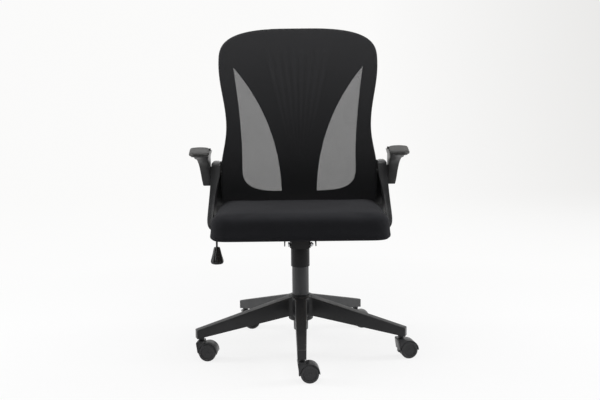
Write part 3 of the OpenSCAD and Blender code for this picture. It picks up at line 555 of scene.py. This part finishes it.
def coat(material, *nodes):
    """Gives CAD nodes that keep their own mesh a material."""
    for node in nodes:
        for slot in frame["nodes"][node].material_slots:
            slot.material = material


coat(zinc, "hub_ring", "piston_rod", "thrust_bearing", "rod_clip", "valve_pin")
coat(tube_coat, "gas_cylinder")
coat(acetal, "guide_bush")
coat(rubber, "buffer_ring")

# ---------------------------------------------------------------- casters
# Five twin-wheel casters of moulded nylon. Each hood covers both wheels and swings on a steel stem
# that is pushed into the leg; the wheels turn on a steel axle through the hood's web.

caster_plastic = moulded("caster_plastic", (0.036, 0.036, 0.038), 0.36)
wheel_plastic = moulded("wheel_plastic", (0.052, 0.052, 0.054), 0.5, grain=700)
wheel_radius, wheel_width = 0.025, 0.0145


def own_copy(node, name):
    """A free copy of a CAD node's mesh."""
    piece = copied(frame["nodes"][node], Matrix.Identity(4))
    piece.parent = None
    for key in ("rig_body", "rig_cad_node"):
        del piece[key]
    piece.name = piece.data.name = name
    return piece


def from_cad(node, name):
    """A copy of a CAD node's mesh with its doubles merged and its flat faces made whole."""
    piece = own_copy(node, name)
    only(piece)
    bpy.ops.object.mode_set(mode="EDIT")
    bpy.ops.mesh.select_all(action="SELECT")
    bpy.ops.mesh.remove_doubles(threshold=2e-6)
    bpy.ops.mesh.dissolve_limited(angle_limit=math.radians(1.5))
    bare()
    return piece


def eased_edges(piece, width, segments=2):
    """Rounds over every sharp edge, then shades the piece smooth."""
    modify(piece, "BEVEL", width=width, segments=segments, limit_method="ANGLE",
           angle_limit=math.radians(35), harden_normals=False, miter_outer="MITER_ARC")
    return smooth(piece, 40)


joints = {joint["name"]: joint for joint in frame["joints"]}
shoulder_low, shoulder_top, shoulder_rise = 0.0435, 0.0572, 0.0095
shoulder_end = 0.0085          # how far behind the stem the hood's raised front ends
cover_inside = 0.0272          # nothing nearer to the axle is raised
for k in range(1, leg_count + 1):
    hood = from_cad(f"caster_hood_{k}", f"caster_{k}_hood")
    stem = Vector(joints[f"caster_{k}_swivel"]["pos_m"]).xy
    wheel_middle = Vector(joints[f"wheel_{k}a_spin"]["pos_m"])
    trail = wheel_middle.xy - stem
    for vertex in hood.data.vertices:
        reach = (vertex.co.xy - stem).dot(trail.normalized())
        from_axle = math.hypot(reach - trail.length, vertex.co.z - wheel_middle.z)
        if vertex.co.z > shoulder_low and reach < shoulder_end and from_axle > cover_inside:
            vertex.co.z = max(vertex.co.z, min(vertex.co.z + shoulder_rise, shoulder_top))
    dress(eased_edges(hood, 0.0009), f"caster_{k}", "caster_plastic", caster_plastic, f"caster_hood_{k}")

half_wheel = wheel_width / 2
boss_face, dish_face = 0.002 - half_wheel, 0.0031 - half_wheel
tread = rounded(
    [(0, boss_face), (0.0042, boss_face), (0.0050, dish_face), (0.0172, dish_face), (0.0184, -half_wheel),
     (0.0232, -half_wheel), (wheel_radius, 0.0018 - half_wheel), (wheel_radius, half_wheel - 0.001),
     (wheel_radius - 0.001, half_wheel), (0, half_wheel)],
    [0, 0.0005, 0.0005, 0.0006, 0.0006, 0.0008, 0.001, 0.0006, 0.0006, 0], 3)
wheel = smooth(turned("wheel", tread, 72), 30)
for k in range(1, leg_count + 1):
    hood_low, hood_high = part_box(f"caster_hood_{k}")
    for side in "ab":
        # The wheel is turned with its dished face outwards.
        low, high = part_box(f"caster_wheel_{k}{side}")
        axle = Vector(joints[f"wheel_{k}{side}_spin"]["axis"])
        outwards = (low + high) / 2 - (hood_low + hood_high) / 2
        axle = -axle if axle.dot(outwards) > 0 else axle
        turn = axle.to_track_quat("Z", "Y").to_matrix().to_4x4()
        piece = copied(wheel, Matrix.Translation((low + high) / 2) @ turn)
        piece.name = piece.data.name = f"caster_{k}_wheel_{side}"
        dress(piece, f"wheel_{k}{side}", "caster_wheel", wheel_plastic, f"caster_wheel_{k}{side}")
    coat(zinc, f"caster_axle_{k}")
bpy.data.objects.remove(wheel)
coat(zinc, "caster_stems")

# ---------------------------------------------------------------- tilt mechanism
# A folded sheet steel tray on the gas cylinder carries the pivot bolt, the tilt spring and its
# tension knob. The pressed seat plate hangs on the bolt by two cheeks. A rod with a hanging grip
# releases the gas lift and is pulled out to free the tilt.

black_steel = powder_coated("mechanism_powder_coat", (0.009, 0.0092, 0.0095), 0.42, gloss=0.25)
spring_steel = plated("oiled_spring_steel", (0.19, 0.19, 0.20), 0.34)
knob_plastic = moulded("knob_plastic", (0.018, 0.018, 0.019), 0.4)
grip_plastic = moulded("grip_plastic", (0.0145, 0.0148, 0.0155), 0.38)

for node, name, body, edge in (("mechanism_housing", "tilt_tray", "lift", 0.0007),
                               ("seat_plate", "seat_plate_pressing", "seat", 0.0006)):
    dress(eased_edges(from_cad(node, name), edge), body, "black_steel", black_steel, node)
for node, name, body, edge, slot, material in (
        ("tilt_pivot_bolt", "pivot_bolt", "lift", 0.0005, "steel", zinc),
        ("tension_knob", "tilt_knob", "knob", 0.0009, "nylon", knob_plastic),
        ("release_rocker", "valve_rocker", "rocker", 0.0005, "nylon", knob_plastic),
        ("spring_seat", "spring_cup", "lift", 0.0005, "nylon", knob_plastic),
        ("lever_rod", "release_rod", "lever", 0.0003, "steel", black_steel),
        ("lever_grip", "release_grip", "lever", 0.0006, "nylon", grip_plastic)):
    dress(eased_edges(from_cad(node, name), edge), body, slot, material, node)

# Leaning back brings the seat plate down on the coil, which is pressed together from its foot.
coil = from_cad("tilt_spring", "tilt_coil")
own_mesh(coil)
dress(smooth(coil, 40), "lift", "steel", spring_steel, "tilt_spring")

# ---------------------------------------------------------------- seat
# Moulded foam on a plywood board, under one piece of knitted fabric that is drawn over the edges
# and stapled to the underside of the board.

seat_low, seat_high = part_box("seat_cushion")
seat_play = Vector((0.002, 0.004, 0.004))  # what the foam is cut smaller by before it swells
seat_drop = 0.013              # how much lower the cushion is at its rear
seat_corner, seat_top_edge, seat_floor_edge = 0.060, 0.028, 0.018
seat_hem, seat_wrap = 0.046, 0.0006  # the fabric is turned in under the board as far as the hem
swell_limit, cushion_voxel, cushion_pressure = 0.006, 0.006, 4.0
seat_hold, seat_foot, seat_shelf = 0.006, 0.01, 0.03  # heights over its foot: held, lower edge, top edge
cloth_frames = 20              # steps in which the foam swells


def weave_map(piece):
    """A UV map in metres, laid on each face along the axis that it faces most."""
    mesh = piece.data
    layer = mesh.uv_layers.new(name="weave")
    count = len(mesh.loops)
    corners = np.zeros(count, int)
    mesh.loops.foreach_get("vertex_index", corners)
    places = np.zeros(len(mesh.vertices) * 3)
    mesh.vertices.foreach_get("co", places)
    places = places.reshape(-1, 3)[corners]
    normals = np.zeros(len(mesh.polygons) * 3)
    mesh.polygons.foreach_get("normal", normals)
    sizes = np.zeros(len(mesh.polygons), int)
    mesh.polygons.foreach_get("loop_total", sizes)
    facing = np.repeat(np.abs(normals.reshape(-1, 3)).argmax(1), sizes)
    flat = np.array([(1, 2), (0, 2), (0, 1)])[facing]
    spots = np.stack([places[range(count), flat[:, 0]], places[range(count), flat[:, 1]]], 1)
    layer.data.foreach_set("uv", spots.ravel())


def knitted(name, colour, pitch=0.0016, roughness=0.92):
    """Polyester knit: rows of small stitches over a slightly uneven yarn, with a faint sheen."""
    finish = Finish(name, colour, roughness, Sheen_Weight=0.03, Sheen_Roughness=0.5, Specular_IOR_Level=0.05)
    spot = finish.node("UVMap", {"uv_map": "weave"})
    across, along, _ = finish.axes(spot)
    turn = 2 * math.pi / pitch
    rows = (across * turn).sine()
    stitches = (along * turn + (rows > 0.0) * math.pi).sine()
    relief = rows.size() * 0.5 + stitches * 0.25 + 0.25
    yarn = finish.noise(520, detail=2)
    cloud = finish.noise(7, detail=3)
    tone = finish.between(relief * 0.45 + yarn * 0.35 + cloud * 0.4, 0.25, 0.95)
    finish.set("Base Color", finish.mix(tone, shade(colour, 0.62), shade(colour, 1.32)))
    finish.set("Roughness", finish.between(relief, 0, 1, roughness - 0.1, roughness + 0.05))
    finish.bump(relief, 0.00022, 0.8)
    return finish.material


def swollen(piece, voxel, pressure, limit, held):
    """Makes a piece a filled pad: remeshed, blown up as cloth, and held to a largest move."""
    modify(piece, "REMESH", mode="VOXEL", voxel_size=voxel, use_smooth_shade=True)
    before = np.array([v.co for v in piece.data.vertices])
    fixed = piece.vertex_groups.new(name="held")
    fixed.add([v.index for v in piece.data.vertices if held(v.co)], 1.0, "REPLACE")
    cloth = piece.modifiers.new("cloth", "CLOTH")
    cloth.settings.use_pressure = True
    cloth.settings.uniform_pressure_force = pressure
    cloth.settings.effector_weights.gravity = 0
    cloth.settings.vertex_group_mass = "held"
    cloth.settings.quality = 5
    cloth.collision_settings.use_collision = False
    for number in range(1, cloth_frames + 1):
        bpy.context.scene.frame_set(number)
    only(piece)
    bpy.ops.object.modifier_apply(modifier="cloth")
    bpy.context.scene.frame_set(1)
    move = np.array([v.co for v in piece.data.vertices]) - before
    length = np.linalg.norm(move, axis=1, keepdims=True)
    after = before + move * np.minimum(1, limit / np.maximum(length, 1e-9))
    piece.data.vertices.foreach_set("co", after.ravel())
    piece.data.update()


seat_middle, seat_half = (seat_low + seat_high) / 2, (seat_high - seat_low) / 2
bpy.ops.mesh.primitive_cube_add(size=1, location=seat_middle - Vector((0, 0, seat_play.z / 2)),
                                scale=seat_high - seat_low - seat_play)
cushion = settle(bpy.context.object, "seat_upholstery")
pick(cushion, "VERT", lambda point: point.y > 0 and point.z > seat_low.z + seat_shelf)
bpy.ops.transform.translate(value=(0, 0, -seat_drop))
bevelled(cushion, lambda a, b: abs(a.z - b.z) > 0.04, seat_corner, 10)
bevelled(cushion, lambda a, b: min(a.z, b.z) > seat_low.z + seat_shelf, seat_top_edge, 6)
bevelled(cushion, lambda a, b: max(a.z, b.z) < seat_low.z + seat_foot, seat_floor_edge, 5)
swollen(cushion, cushion_voxel, cushion_pressure, swell_limit,
        lambda point: point.z < seat_low.z + seat_hold)
modify(cushion, "CORRECTIVE_SMOOTH", factor=0.5, iterations=6, smooth_type="SIMPLE", use_only_smooth=True)
for vertex in cushion.data.vertices:
    inside = min(seat_half.x - abs(vertex.co.x), seat_half.y - abs(vertex.co.y - seat_middle.y))
    vertex.co.z = max(vertex.co.z, seat_low.z + (seat_wrap if inside > seat_hem else -seat_wrap))
modify(cushion, "SUBSURF", levels=1, render_levels=1)
weave_map(cushion)
smooth(cushion, 60)
seat_fabric = knitted("seat_knit", (0.0245, 0.0247, 0.0275))
dress(cushion, "seat", "seat_fabric", seat_fabric, "seat_cushion")


def plywood(name, faces, glue):
    """Birch plywood: grain along X on its faces, thin plies and dark glue lines on its edges."""
    finish = Finish(name, faces, 0.6)
    _, _, height = finish.axes(finish.place())
    grain = finish.noise(14, detail=5, stretch=(0.6, 12, 12))
    rings = (grain * 40).sine() * 0.5 + 0.5
    lines = (height * (2 * math.pi / ply_pitch)).sine() > 0.75
    _, _, up = finish.axes(finish.node("NewGeometry", output="Normal"))
    edge = 1 - up.size()
    tone = finish.between(rings * 0.5 + grain * 0.5, 0.2, 0.8)
    wood = finish.mix(tone, shade(faces, 0.72), shade(faces, 1.15))
    finish.set("Base Color", finish.mix(edge * lines, wood, glue))
    finish.bump(rings + grain, 0.00006)
    return finish.material


ply_pitch = 0.003              # from one dark glue line to the next
coat(plywood("birch_plywood", (0.50, 0.35, 0.19), (0.10, 0.055, 0.03)), "seat_board")
coat(zinc, "seat_bolts", "bracket_bolts")

# ---------------------------------------------------------------- arms
# Each arm is a nylon post with a tray, turning up on a steel bolt through the bracket. The pad is
# self-skinned polyurethane foam with a fine leather grain, screwed onto the tray.

post_plastic = moulded("post_plastic", (0.020, 0.0202, 0.0208), 0.34)


def skinned_foam(name, colour, roughness=0.55):
    """Self-skinned foam: a soft matt skin with a fine pebbled grain."""
    finish = Finish(name, colour, roughness, Specular_IOR_Level=0.35)
    pebble = finish.node("TexVoronoi", {"feature": "DISTANCE_TO_EDGE"},
                         {"Vector": finish.place(), "Scale": 620.0})
    cloud = finish.noise(22, detail=3)
    tone = finish.between(cloud, 0.3, 0.7)
    finish.set("Base Color", finish.mix(tone, shade(colour, 0.92), shade(colour, 1.08)))
    finish.set("Roughness", finish.between(cloud, 0.3, 0.7, roughness - 0.05, roughness + 0.07))
    finish.bump(finish.between(pebble, 0, 0.25), 0.00009)
    return finish.material


pad_skin = skinned_foam("arm_pad_skin", (0.036, 0.0354, 0.034))
pad_voxel, pad_pressure, pad_swell, pad_hold = 0.0035, 3.0, 0.0015, 0.004
for side in ("left", "right"):
    post = eased_edges(from_cad(f"arm_frame_{side}", f"arm_post_{side}"), 0.0016, segments=3)
    dress(post, f"arm_{side}", "nylon", post_plastic, f"arm_frame_{side}")
    pad = from_cad(f"arm_pad_{side}", f"armrest_{side}")
    pad_low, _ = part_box(f"arm_pad_{side}")
    swollen(pad, pad_voxel, pad_pressure, pad_swell, lambda point: point.z < pad_low.z + pad_hold)
    for vertex in pad.data.vertices:
        vertex.co.z = max(vertex.co.z, pad_low.z)
    modify(pad, "CORRECTIVE_SMOOTH", factor=0.5, iterations=4, smooth_type="SIMPLE", use_only_smooth=True)
    modify(pad, "SUBSURF", levels=1, render_levels=1)
    smooth(pad, 60)
    dress(pad, f"arm_{side}", "arm_pad", pad_skin, f"arm_pad_{side}")
coat(black_steel, "arm_pivot_bolts")

# ---------------------------------------------------------------- back
# A ribbed polypropylene shell with two leaf-shaped windows. Open mesh is stretched over its face,
# folded round its rim and held there by a plastic strip; four screws join the shell to the brackets.

back_low, back_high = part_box("back_shell")
wrap_radius, upper_curve, lower_curve = 0.850, 0.800, 0.470
lumbar_rear, lumbar_height = 0.205, 0.570
half_top, half_waist, half_foot = 0.250, 0.226, 0.245
waist_height, foot_corner, corner_power = 0.665, 0.028, 3
flange_depth, mesh_stand, mesh_sheet = 0.014, 0.0033, 0.0007
mesh_fold, mesh_over = 0.0065, 0.0006  # the fold's radius, and how far it stands out past the rim
mesh_middle = np.array((0.0, 0.69))    # the (x, z) place that its rings shrink to
mesh_step, mesh_tuck = 0.008, 0.0005   # the spacing of its points, and how far it passes the flange
crown_start, flare_end = back_high.z - 0.106, waist_height - 0.150
fan_foot, fan_root, fan_spread, fan_relief = 0.560, 0.006, 0.064, 0.0010
fan_ribs = 3.6                 # how many rib widths the fan reaches to each side
rib_light_low, rib_light_high = (0.60, 0.72), (back_high.z - 0.15, back_high.z - 0.05)  # the painted light over the ribs fades in and out here


def back_y(x, z, depth):
    """How far back the shell's surface is at a place, some depth behind its face."""
    curve = upper_curve if z > lumbar_height else lower_curve
    spine = curve - math.sqrt((curve - depth) ** 2 - (z - lumbar_height) ** 2)
    return lumbar_rear - wrap_radius + math.sqrt((wrap_radius + spine) ** 2 - x * x)


def back_half(z):
    """Half the width of the back at a height, below its rounded top."""
    if z < flare_end:
        return half_foot
    end, half = (crown_start, half_top) if z > waist_height else (flare_end, half_foot)
    swing = math.cos(math.pi * (z - waist_height) / (end - waist_height))
    return (half + half_waist) / 2 - (half - half_waist) / 2 * swing


def back_rim(count=44):
    """The back's outline as (x, z) points, anticlockwise from the middle of its foot."""
    right = []
    for step in range(9):
        a = math.pi / 2 * step / 8
        right.append((half_foot - foot_corner + foot_corner * math.sin(a),
                      back_low.z + foot_corner - foot_corner * math.cos(a)))
    for step in range(1, count):
        z = back_low.z + foot_corner + (crown_start - back_low.z - foot_corner) * step / count
        right.append((back_half(z), z))
    for step in range(29):
        a = math.pi / 2 * step / 28
        right.append((half_top * math.cos(a) ** (2 / corner_power) if step < 28 else 0.0,
                      crown_start + (back_high.z - crown_start) * math.sin(a) ** (2 / corner_power)))
    left = [(-x, z) for x, z in reversed(right[:-1])]
    foot = [(x, back_low.z) for x in np.linspace(-half_foot + foot_corner, half_foot - foot_corner, 24)[1:-1]]
    return right + left + foot


def spaced(points, gap):
    """The same closed line with its points an even distance apart."""
    ring = np.array(points + points[:1])
    run = np.concatenate([[0], np.cumsum(np.linalg.norm(np.diff(ring, axis=0), axis=1))])
    at = np.linspace(0, run[-1], int(run[-1] / gap) + 1)[:-1]
    return np.stack([np.interp(at, run, ring[:, axis]) for axis in (0, 1)], 1)


def fan(x, z):
    """Height of the fanned ribs as they show through the mesh."""
    if z < fan_foot:
        return 0.0
    place = x / (fan_root + fan_spread * (z - fan_foot))
    inside = max(0.0, 1 - max(0.0, abs(place) - fan_ribs) * 2)
    rise = min(1.0, (z - fan_foot) / 0.1) * min(1.0, max(0.0, (back_high.z - 0.05 - z) / 0.05))
    return fan_relief * inside * rise * math.sin(math.pi * place) ** 2


def mesh_surface():
    """The stretched mesh: rings from the rim inwards over the face, and a fold back over the rim."""
    rim = spaced(back_rim(), mesh_step)
    count = len(rim)
    ahead, behind = np.roll(rim, -1, 0), np.roll(rim, 1, 0)
    along = ahead - behind
    outwards = np.stack([along[:, 1], -along[:, 0]], 1) / np.linalg.norm(along, axis=1)[:, None]
    inner = rim - outwards * mesh_fold
    rings = []
    for share in np.linspace(0, 1, 46)[1:]:
        spots = mesh_middle + (inner - mesh_middle) * share
        rings.append([(x, back_y(x, z, -mesh_stand - fan(x, z)), z) for x, z in spots])
    for step in range(1, 7):
        a = math.pi / 2 * step / 6
        spots = inner + outwards * (mesh_fold + mesh_over) * math.sin(a)
        depth = -mesh_stand + mesh_fold * (1 - math.cos(a))
        rings.append([(x, back_y(x, z, depth), z) for x, z in spots])
    for depth in np.linspace(-mesh_stand + mesh_fold, flange_depth + mesh_tuck, 4)[1:]:
        spots = inner + outwards * (mesh_fold + mesh_over)
        rings.append([(x, back_y(x, z, depth), z) for x, z in spots])
    centre = (0, back_y(0, mesh_middle[1], -mesh_stand), mesh_middle[1])
    vertices = [centre] + [point for ring in rings for point in ring]
    faces = [(0, 1 + (k + 1) % count, 1 + k) for k in range(count)]
    for ring in range(len(rings) - 1):
        for k in range(count):
            a, b = 1 + ring * count + k, 1 + ring * count + (k + 1) % count
            faces.append((a, b, b + count, a + count))
    mesh = bpy.data.meshes.new("back_mesh_cloth")
    mesh.from_pydata(vertices, [], faces)
    piece = bpy.data.objects.new("back_mesh_cloth", mesh)
    bpy.context.collection.objects.link(piece)
    return piece


def open_mesh(name, colour, pitch=0.0024, row_share=0.866, opening=0.485):
    """Warp-knitted mesh: rows of round openings between bundles of yarn, with painted light making it paler
    where the ribs behind it show through.
    """
    finish = Finish(name, colour, 0.72, Specular_IOR_Level=0.3)
    x, _, z = finish.axes(finish.place())
    turn = math.pi / pitch
    level = (z * (turn / row_share)).sine()
    row = (z * (turn / row_share) * 0.5).sine() > 0.0
    across = (x * turn + row * (math.pi / 2)).sine()
    hole = level * level * (across * across)
    yarn = finish.noise(700, detail=2)
    # Painted light: the mesh is painted paler over the fanned ribs behind it, fading in and out with height.
    place = x / ((z - fan_foot) * fan_spread + fan_root)
    crest = (place * math.pi).sine()
    ribs = crest * crest * finish.between(place.size(), fan_ribs, fan_ribs + 0.8, 1, 0)
    ribs = ribs * finish.between(z, *rib_light_low)
    ribs = ribs * finish.between(z, *rib_light_high, 1, 0)
    finish.set("Base Color", finish.mix(yarn * 0.6 + ribs * 0.26, shade(colour, 0.66), shade(colour, 1.8)))
    finish.set("Alpha", 1 - (hole > opening))
    finish.bump(1 - hole, 0.0004, 0.7)
    return finish.material


cloth = tidied(mesh_surface())
modify(cloth, "SOLIDIFY", thickness=mesh_sheet, offset=0)
smooth(cloth, 60)
dress(cloth, "seat", "back_mesh", open_mesh("back_mesh_knit", (0.0235, 0.0235, 0.0255)), "back_mesh")

shell_plastic = moulded("shell_polypropylene", (0.0175, 0.0178, 0.019), 0.5)
for node, name in (("back_shell", "back_shell_moulding"), ("mesh_edge_strip", "mesh_strip")):
    piece = own_copy(node, name)
    smooth(tidied(piece, 2e-6), 30)
    dress(piece, "seat", "back_plastic", shell_plastic, node)
dress(eased_edges(from_cad("back_screws", "bracket_screws"), 0.0004), "seat", "steel", zinc, "back_screws")

# ---------------------------------------------------------------- side brackets
# Two arched nylon mouldings. Each is bolted under the seat board, carries the arm's pivot, and ends
# in a wing that is screwed to the back; a glossy cap closes its top.

wing_thickness = 0.007
wing_foot, wing_tab = ((0.236, 0.374), (0.270, 0.416)), ((0.214, 0.520), (0.256, 0.556))
bracket_plastic = moulded("bracket_plastic", (0.030, 0.0302, 0.031), 0.32)
gloss_plastic = moulded("cap_plastic", (0.058, 0.058, 0.059), 0.24, relief=0.000006)


def wing_plate(side, low, high):
    """A part of the wing behind the back, following its curve, between two (x, z) corners."""
    bpy.ops.mesh.primitive_grid_add(x_subdivisions=6, y_subdivisions=6, size=2)
    plate = settle(bpy.context.object, "wing_plate")
    for vertex in plate.data.vertices:
        x = (low[0] + high[0] + vertex.co.x * (high[0] - low[0])) / 2
        z = (low[1] + high[1] + vertex.co.y * (high[1] - low[1])) / 2
        vertex.co = (side * x, back_y(x, z, flange_depth + wing_thickness / 2), z)
    modify(plate, "SOLIDIFY", thickness=wing_thickness, offset=0)
    return plate


for side, sign in (("left", -1), ("right", 1)):
    bracket = eased_edges(from_cad(f"side_bracket_{side}", f"bracket_{side}"), 0.0022, segments=3)
    plates = [eased_edges(wing_plate(sign, *span), 0.001) for span in (wing_foot, wing_tab)]
    bracket = smooth(joined(f"bracket_{side}", [bracket] + plates), 40)
    dress(bracket, "seat", "nylon", bracket_plastic, f"side_bracket_{side}")
    cap = eased_edges(from_cad(f"bracket_cap_{side}", f"cap_{side}"), 0.0016, segments=3)
    dress(cap, "seat", "nylon", gloss_plastic, f"bracket_cap_{side}")

# ---------------------------------------------------------------- studio
# A white sweep under soft light: a large softbox overhead, one at each side and a weak fill in
# front. The paper keeps the chair's shadow near the casters and glows evenly on the floor further
# out; painted shade makes its glowing wall darker towards the right.

near_paper, far_paper = 0.75, 1.5      # the matt paper gives way to glowing paper between these
wall_sides, floor_end = (0.6, 2.6), (1.2, 3.4)  # painted shade darkens the wall towards the right between these x; the floor turns into the wall between these y
# Painted shade: the glowing wall is painted darker on its right than on its left.
wall_light_left, wall_painted_shade_right = (0.962, 0.960, 0.955), (0.815, 0.810, 0.800)
paper_floor, paper_lift = (0.976, 0.976, 0.974), 0.82
paper_bounce, paper_shown = 0.5, 0.15  # how much light it gives back to the chair, and to the camera
sweep_half, sweep_front, sweep_rear, sweep_bend, sweep_top = 9, -5, 3, 2, 7


def paper():
    """White paper: matt round the chair, where it keeps the shadow over a glow that only the camera
    and reflections see, and all glow further out, with painted shade darkening the wall to the right."""
    finish = Finish("studio_paper", (paper_bounce,) * 3, 0.9, Specular_IOR_Level=0.1, Emission_Strength=1)
    path = finish.node("LightPath").socket.node
    seen = Signal(finish, path.outputs["Is Camera Ray"])
    for kind in ("Is Glossy Ray", "Is Transmission Ray"):
        seen = seen.math("MAXIMUM", seen, Signal(finish, path.outputs[kind]))
    x, y, z = finish.axes(finish.place())
    away = finish.between((x * x + y * y + z * z) ** 0.5, near_paper, far_paper)
    # Painted shade: the wall's glow darkens from left to right.
    wall = finish.mix(finish.between(x, *wall_sides), wall_light_left, wall_painted_shade_right)
    finish.set("Base Color", finish.mix(seen, (paper_bounce,) * 3, (paper_shown,) * 3))
    colour = finish.mix(finish.between(y, *floor_end), paper_floor, wall)
    glow = finish.node("Emission", sockets={"Color": colour})
    finish.set("Emission Color", finish.mix(seen, (0, 0, 0), (paper_lift,) * 3))
    plain = Signal(finish, finish.surface.outputs[0])
    both = finish.node("MixShader", sockets={0: seen * away, 1: plain, 2: glow})
    finish.feed(finish.tree.nodes["Material Output"].inputs["Surface"], both)
    return finish.material


def sweep():
    """Floor that curves up into a wall, as one strip."""
    points = [(sweep_front, 0), (sweep_rear, 0)]
    for step in range(1, 13):
        a = math.pi / 2 * step / 12
        points.append((sweep_rear + sweep_bend * math.sin(a), sweep_bend - sweep_bend * math.cos(a)))
    points.append((sweep_rear + sweep_bend, sweep_top))
    strip = drawn("studio_sweep", [(-sweep_half, y, z) for y, z in points])
    bpy.ops.mesh.extrude_region_move(TRANSFORM_OT_translate={"value": (2 * sweep_half, 0, 0)})
    bare()
    smooth(strip, 60)
    return strip


backdrop = sweep()
backdrop.data.materials.append(paper())

world = bpy.data.worlds.new("studio")
bpy.context.scene.world = world
world.use_nodes = True
world.node_tree.nodes["Background"].inputs["Color"].default_value = (0.97, 0.98, 1.0, 1)
world.node_tree.nodes["Background"].inputs["Strength"].default_value = 0.20


def softbox(name, place, aim, width, height, power):
    """A rectangular lamp at a place, turned to a point."""
    lamp = bpy.data.lights.new(name, "AREA")
    lamp.shape = "RECTANGLE"
    lamp.size, lamp.size_y, lamp.energy = width, height, power
    box = bpy.data.objects.new(name, lamp)
    box.location = place
    box.rotation_euler = (Vector(aim) - Vector(place)).to_track_quat("-Z", "Y").to_euler()
    bpy.context.collection.objects.link(box)


softbox("overhead", (0, -0.2, 2.7), (0, 0, 0.5), 2.6, 2.2, 36)
softbox("left_strip", (-2.3, 0.2, 1.2), (0, 0, 0.6), 0.6, 1.8, 34)
softbox("right_strip", (2.3, 0.2, 1.2), (0, 0, 0.6), 0.6, 1.8, 34)
softbox("front_fill", (0.4, -3.4, 1.9), (0, 0, 0.5), 1.6, 1.2, 10)

camera_data = bpy.data.cameras.new("camera")
camera = bpy.data.objects.new("camera", camera_data)
bpy.context.collection.objects.link(camera)
camera_data.sensor_width = 36
camera_data.lens = 57.125
camera_place = (-0.0144, -2.8039, 0.8376)
camera_yaw, camera_tilt, camera_roll = -0.3135, 7.757, -0.584
camera.matrix_world = (Matrix.Translation(camera_place)
                       @ Matrix.Rotation(math.radians(camera_yaw), 4, "Z")
                       @ Matrix.Rotation(math.radians(90 - camera_tilt), 4, "X")
                       @ Matrix.Rotation(math.radians(camera_roll), 4, "Z"))
bpy.context.scene.camera = camera
bpy.context.scene.view_settings.view_transform = "Standard"
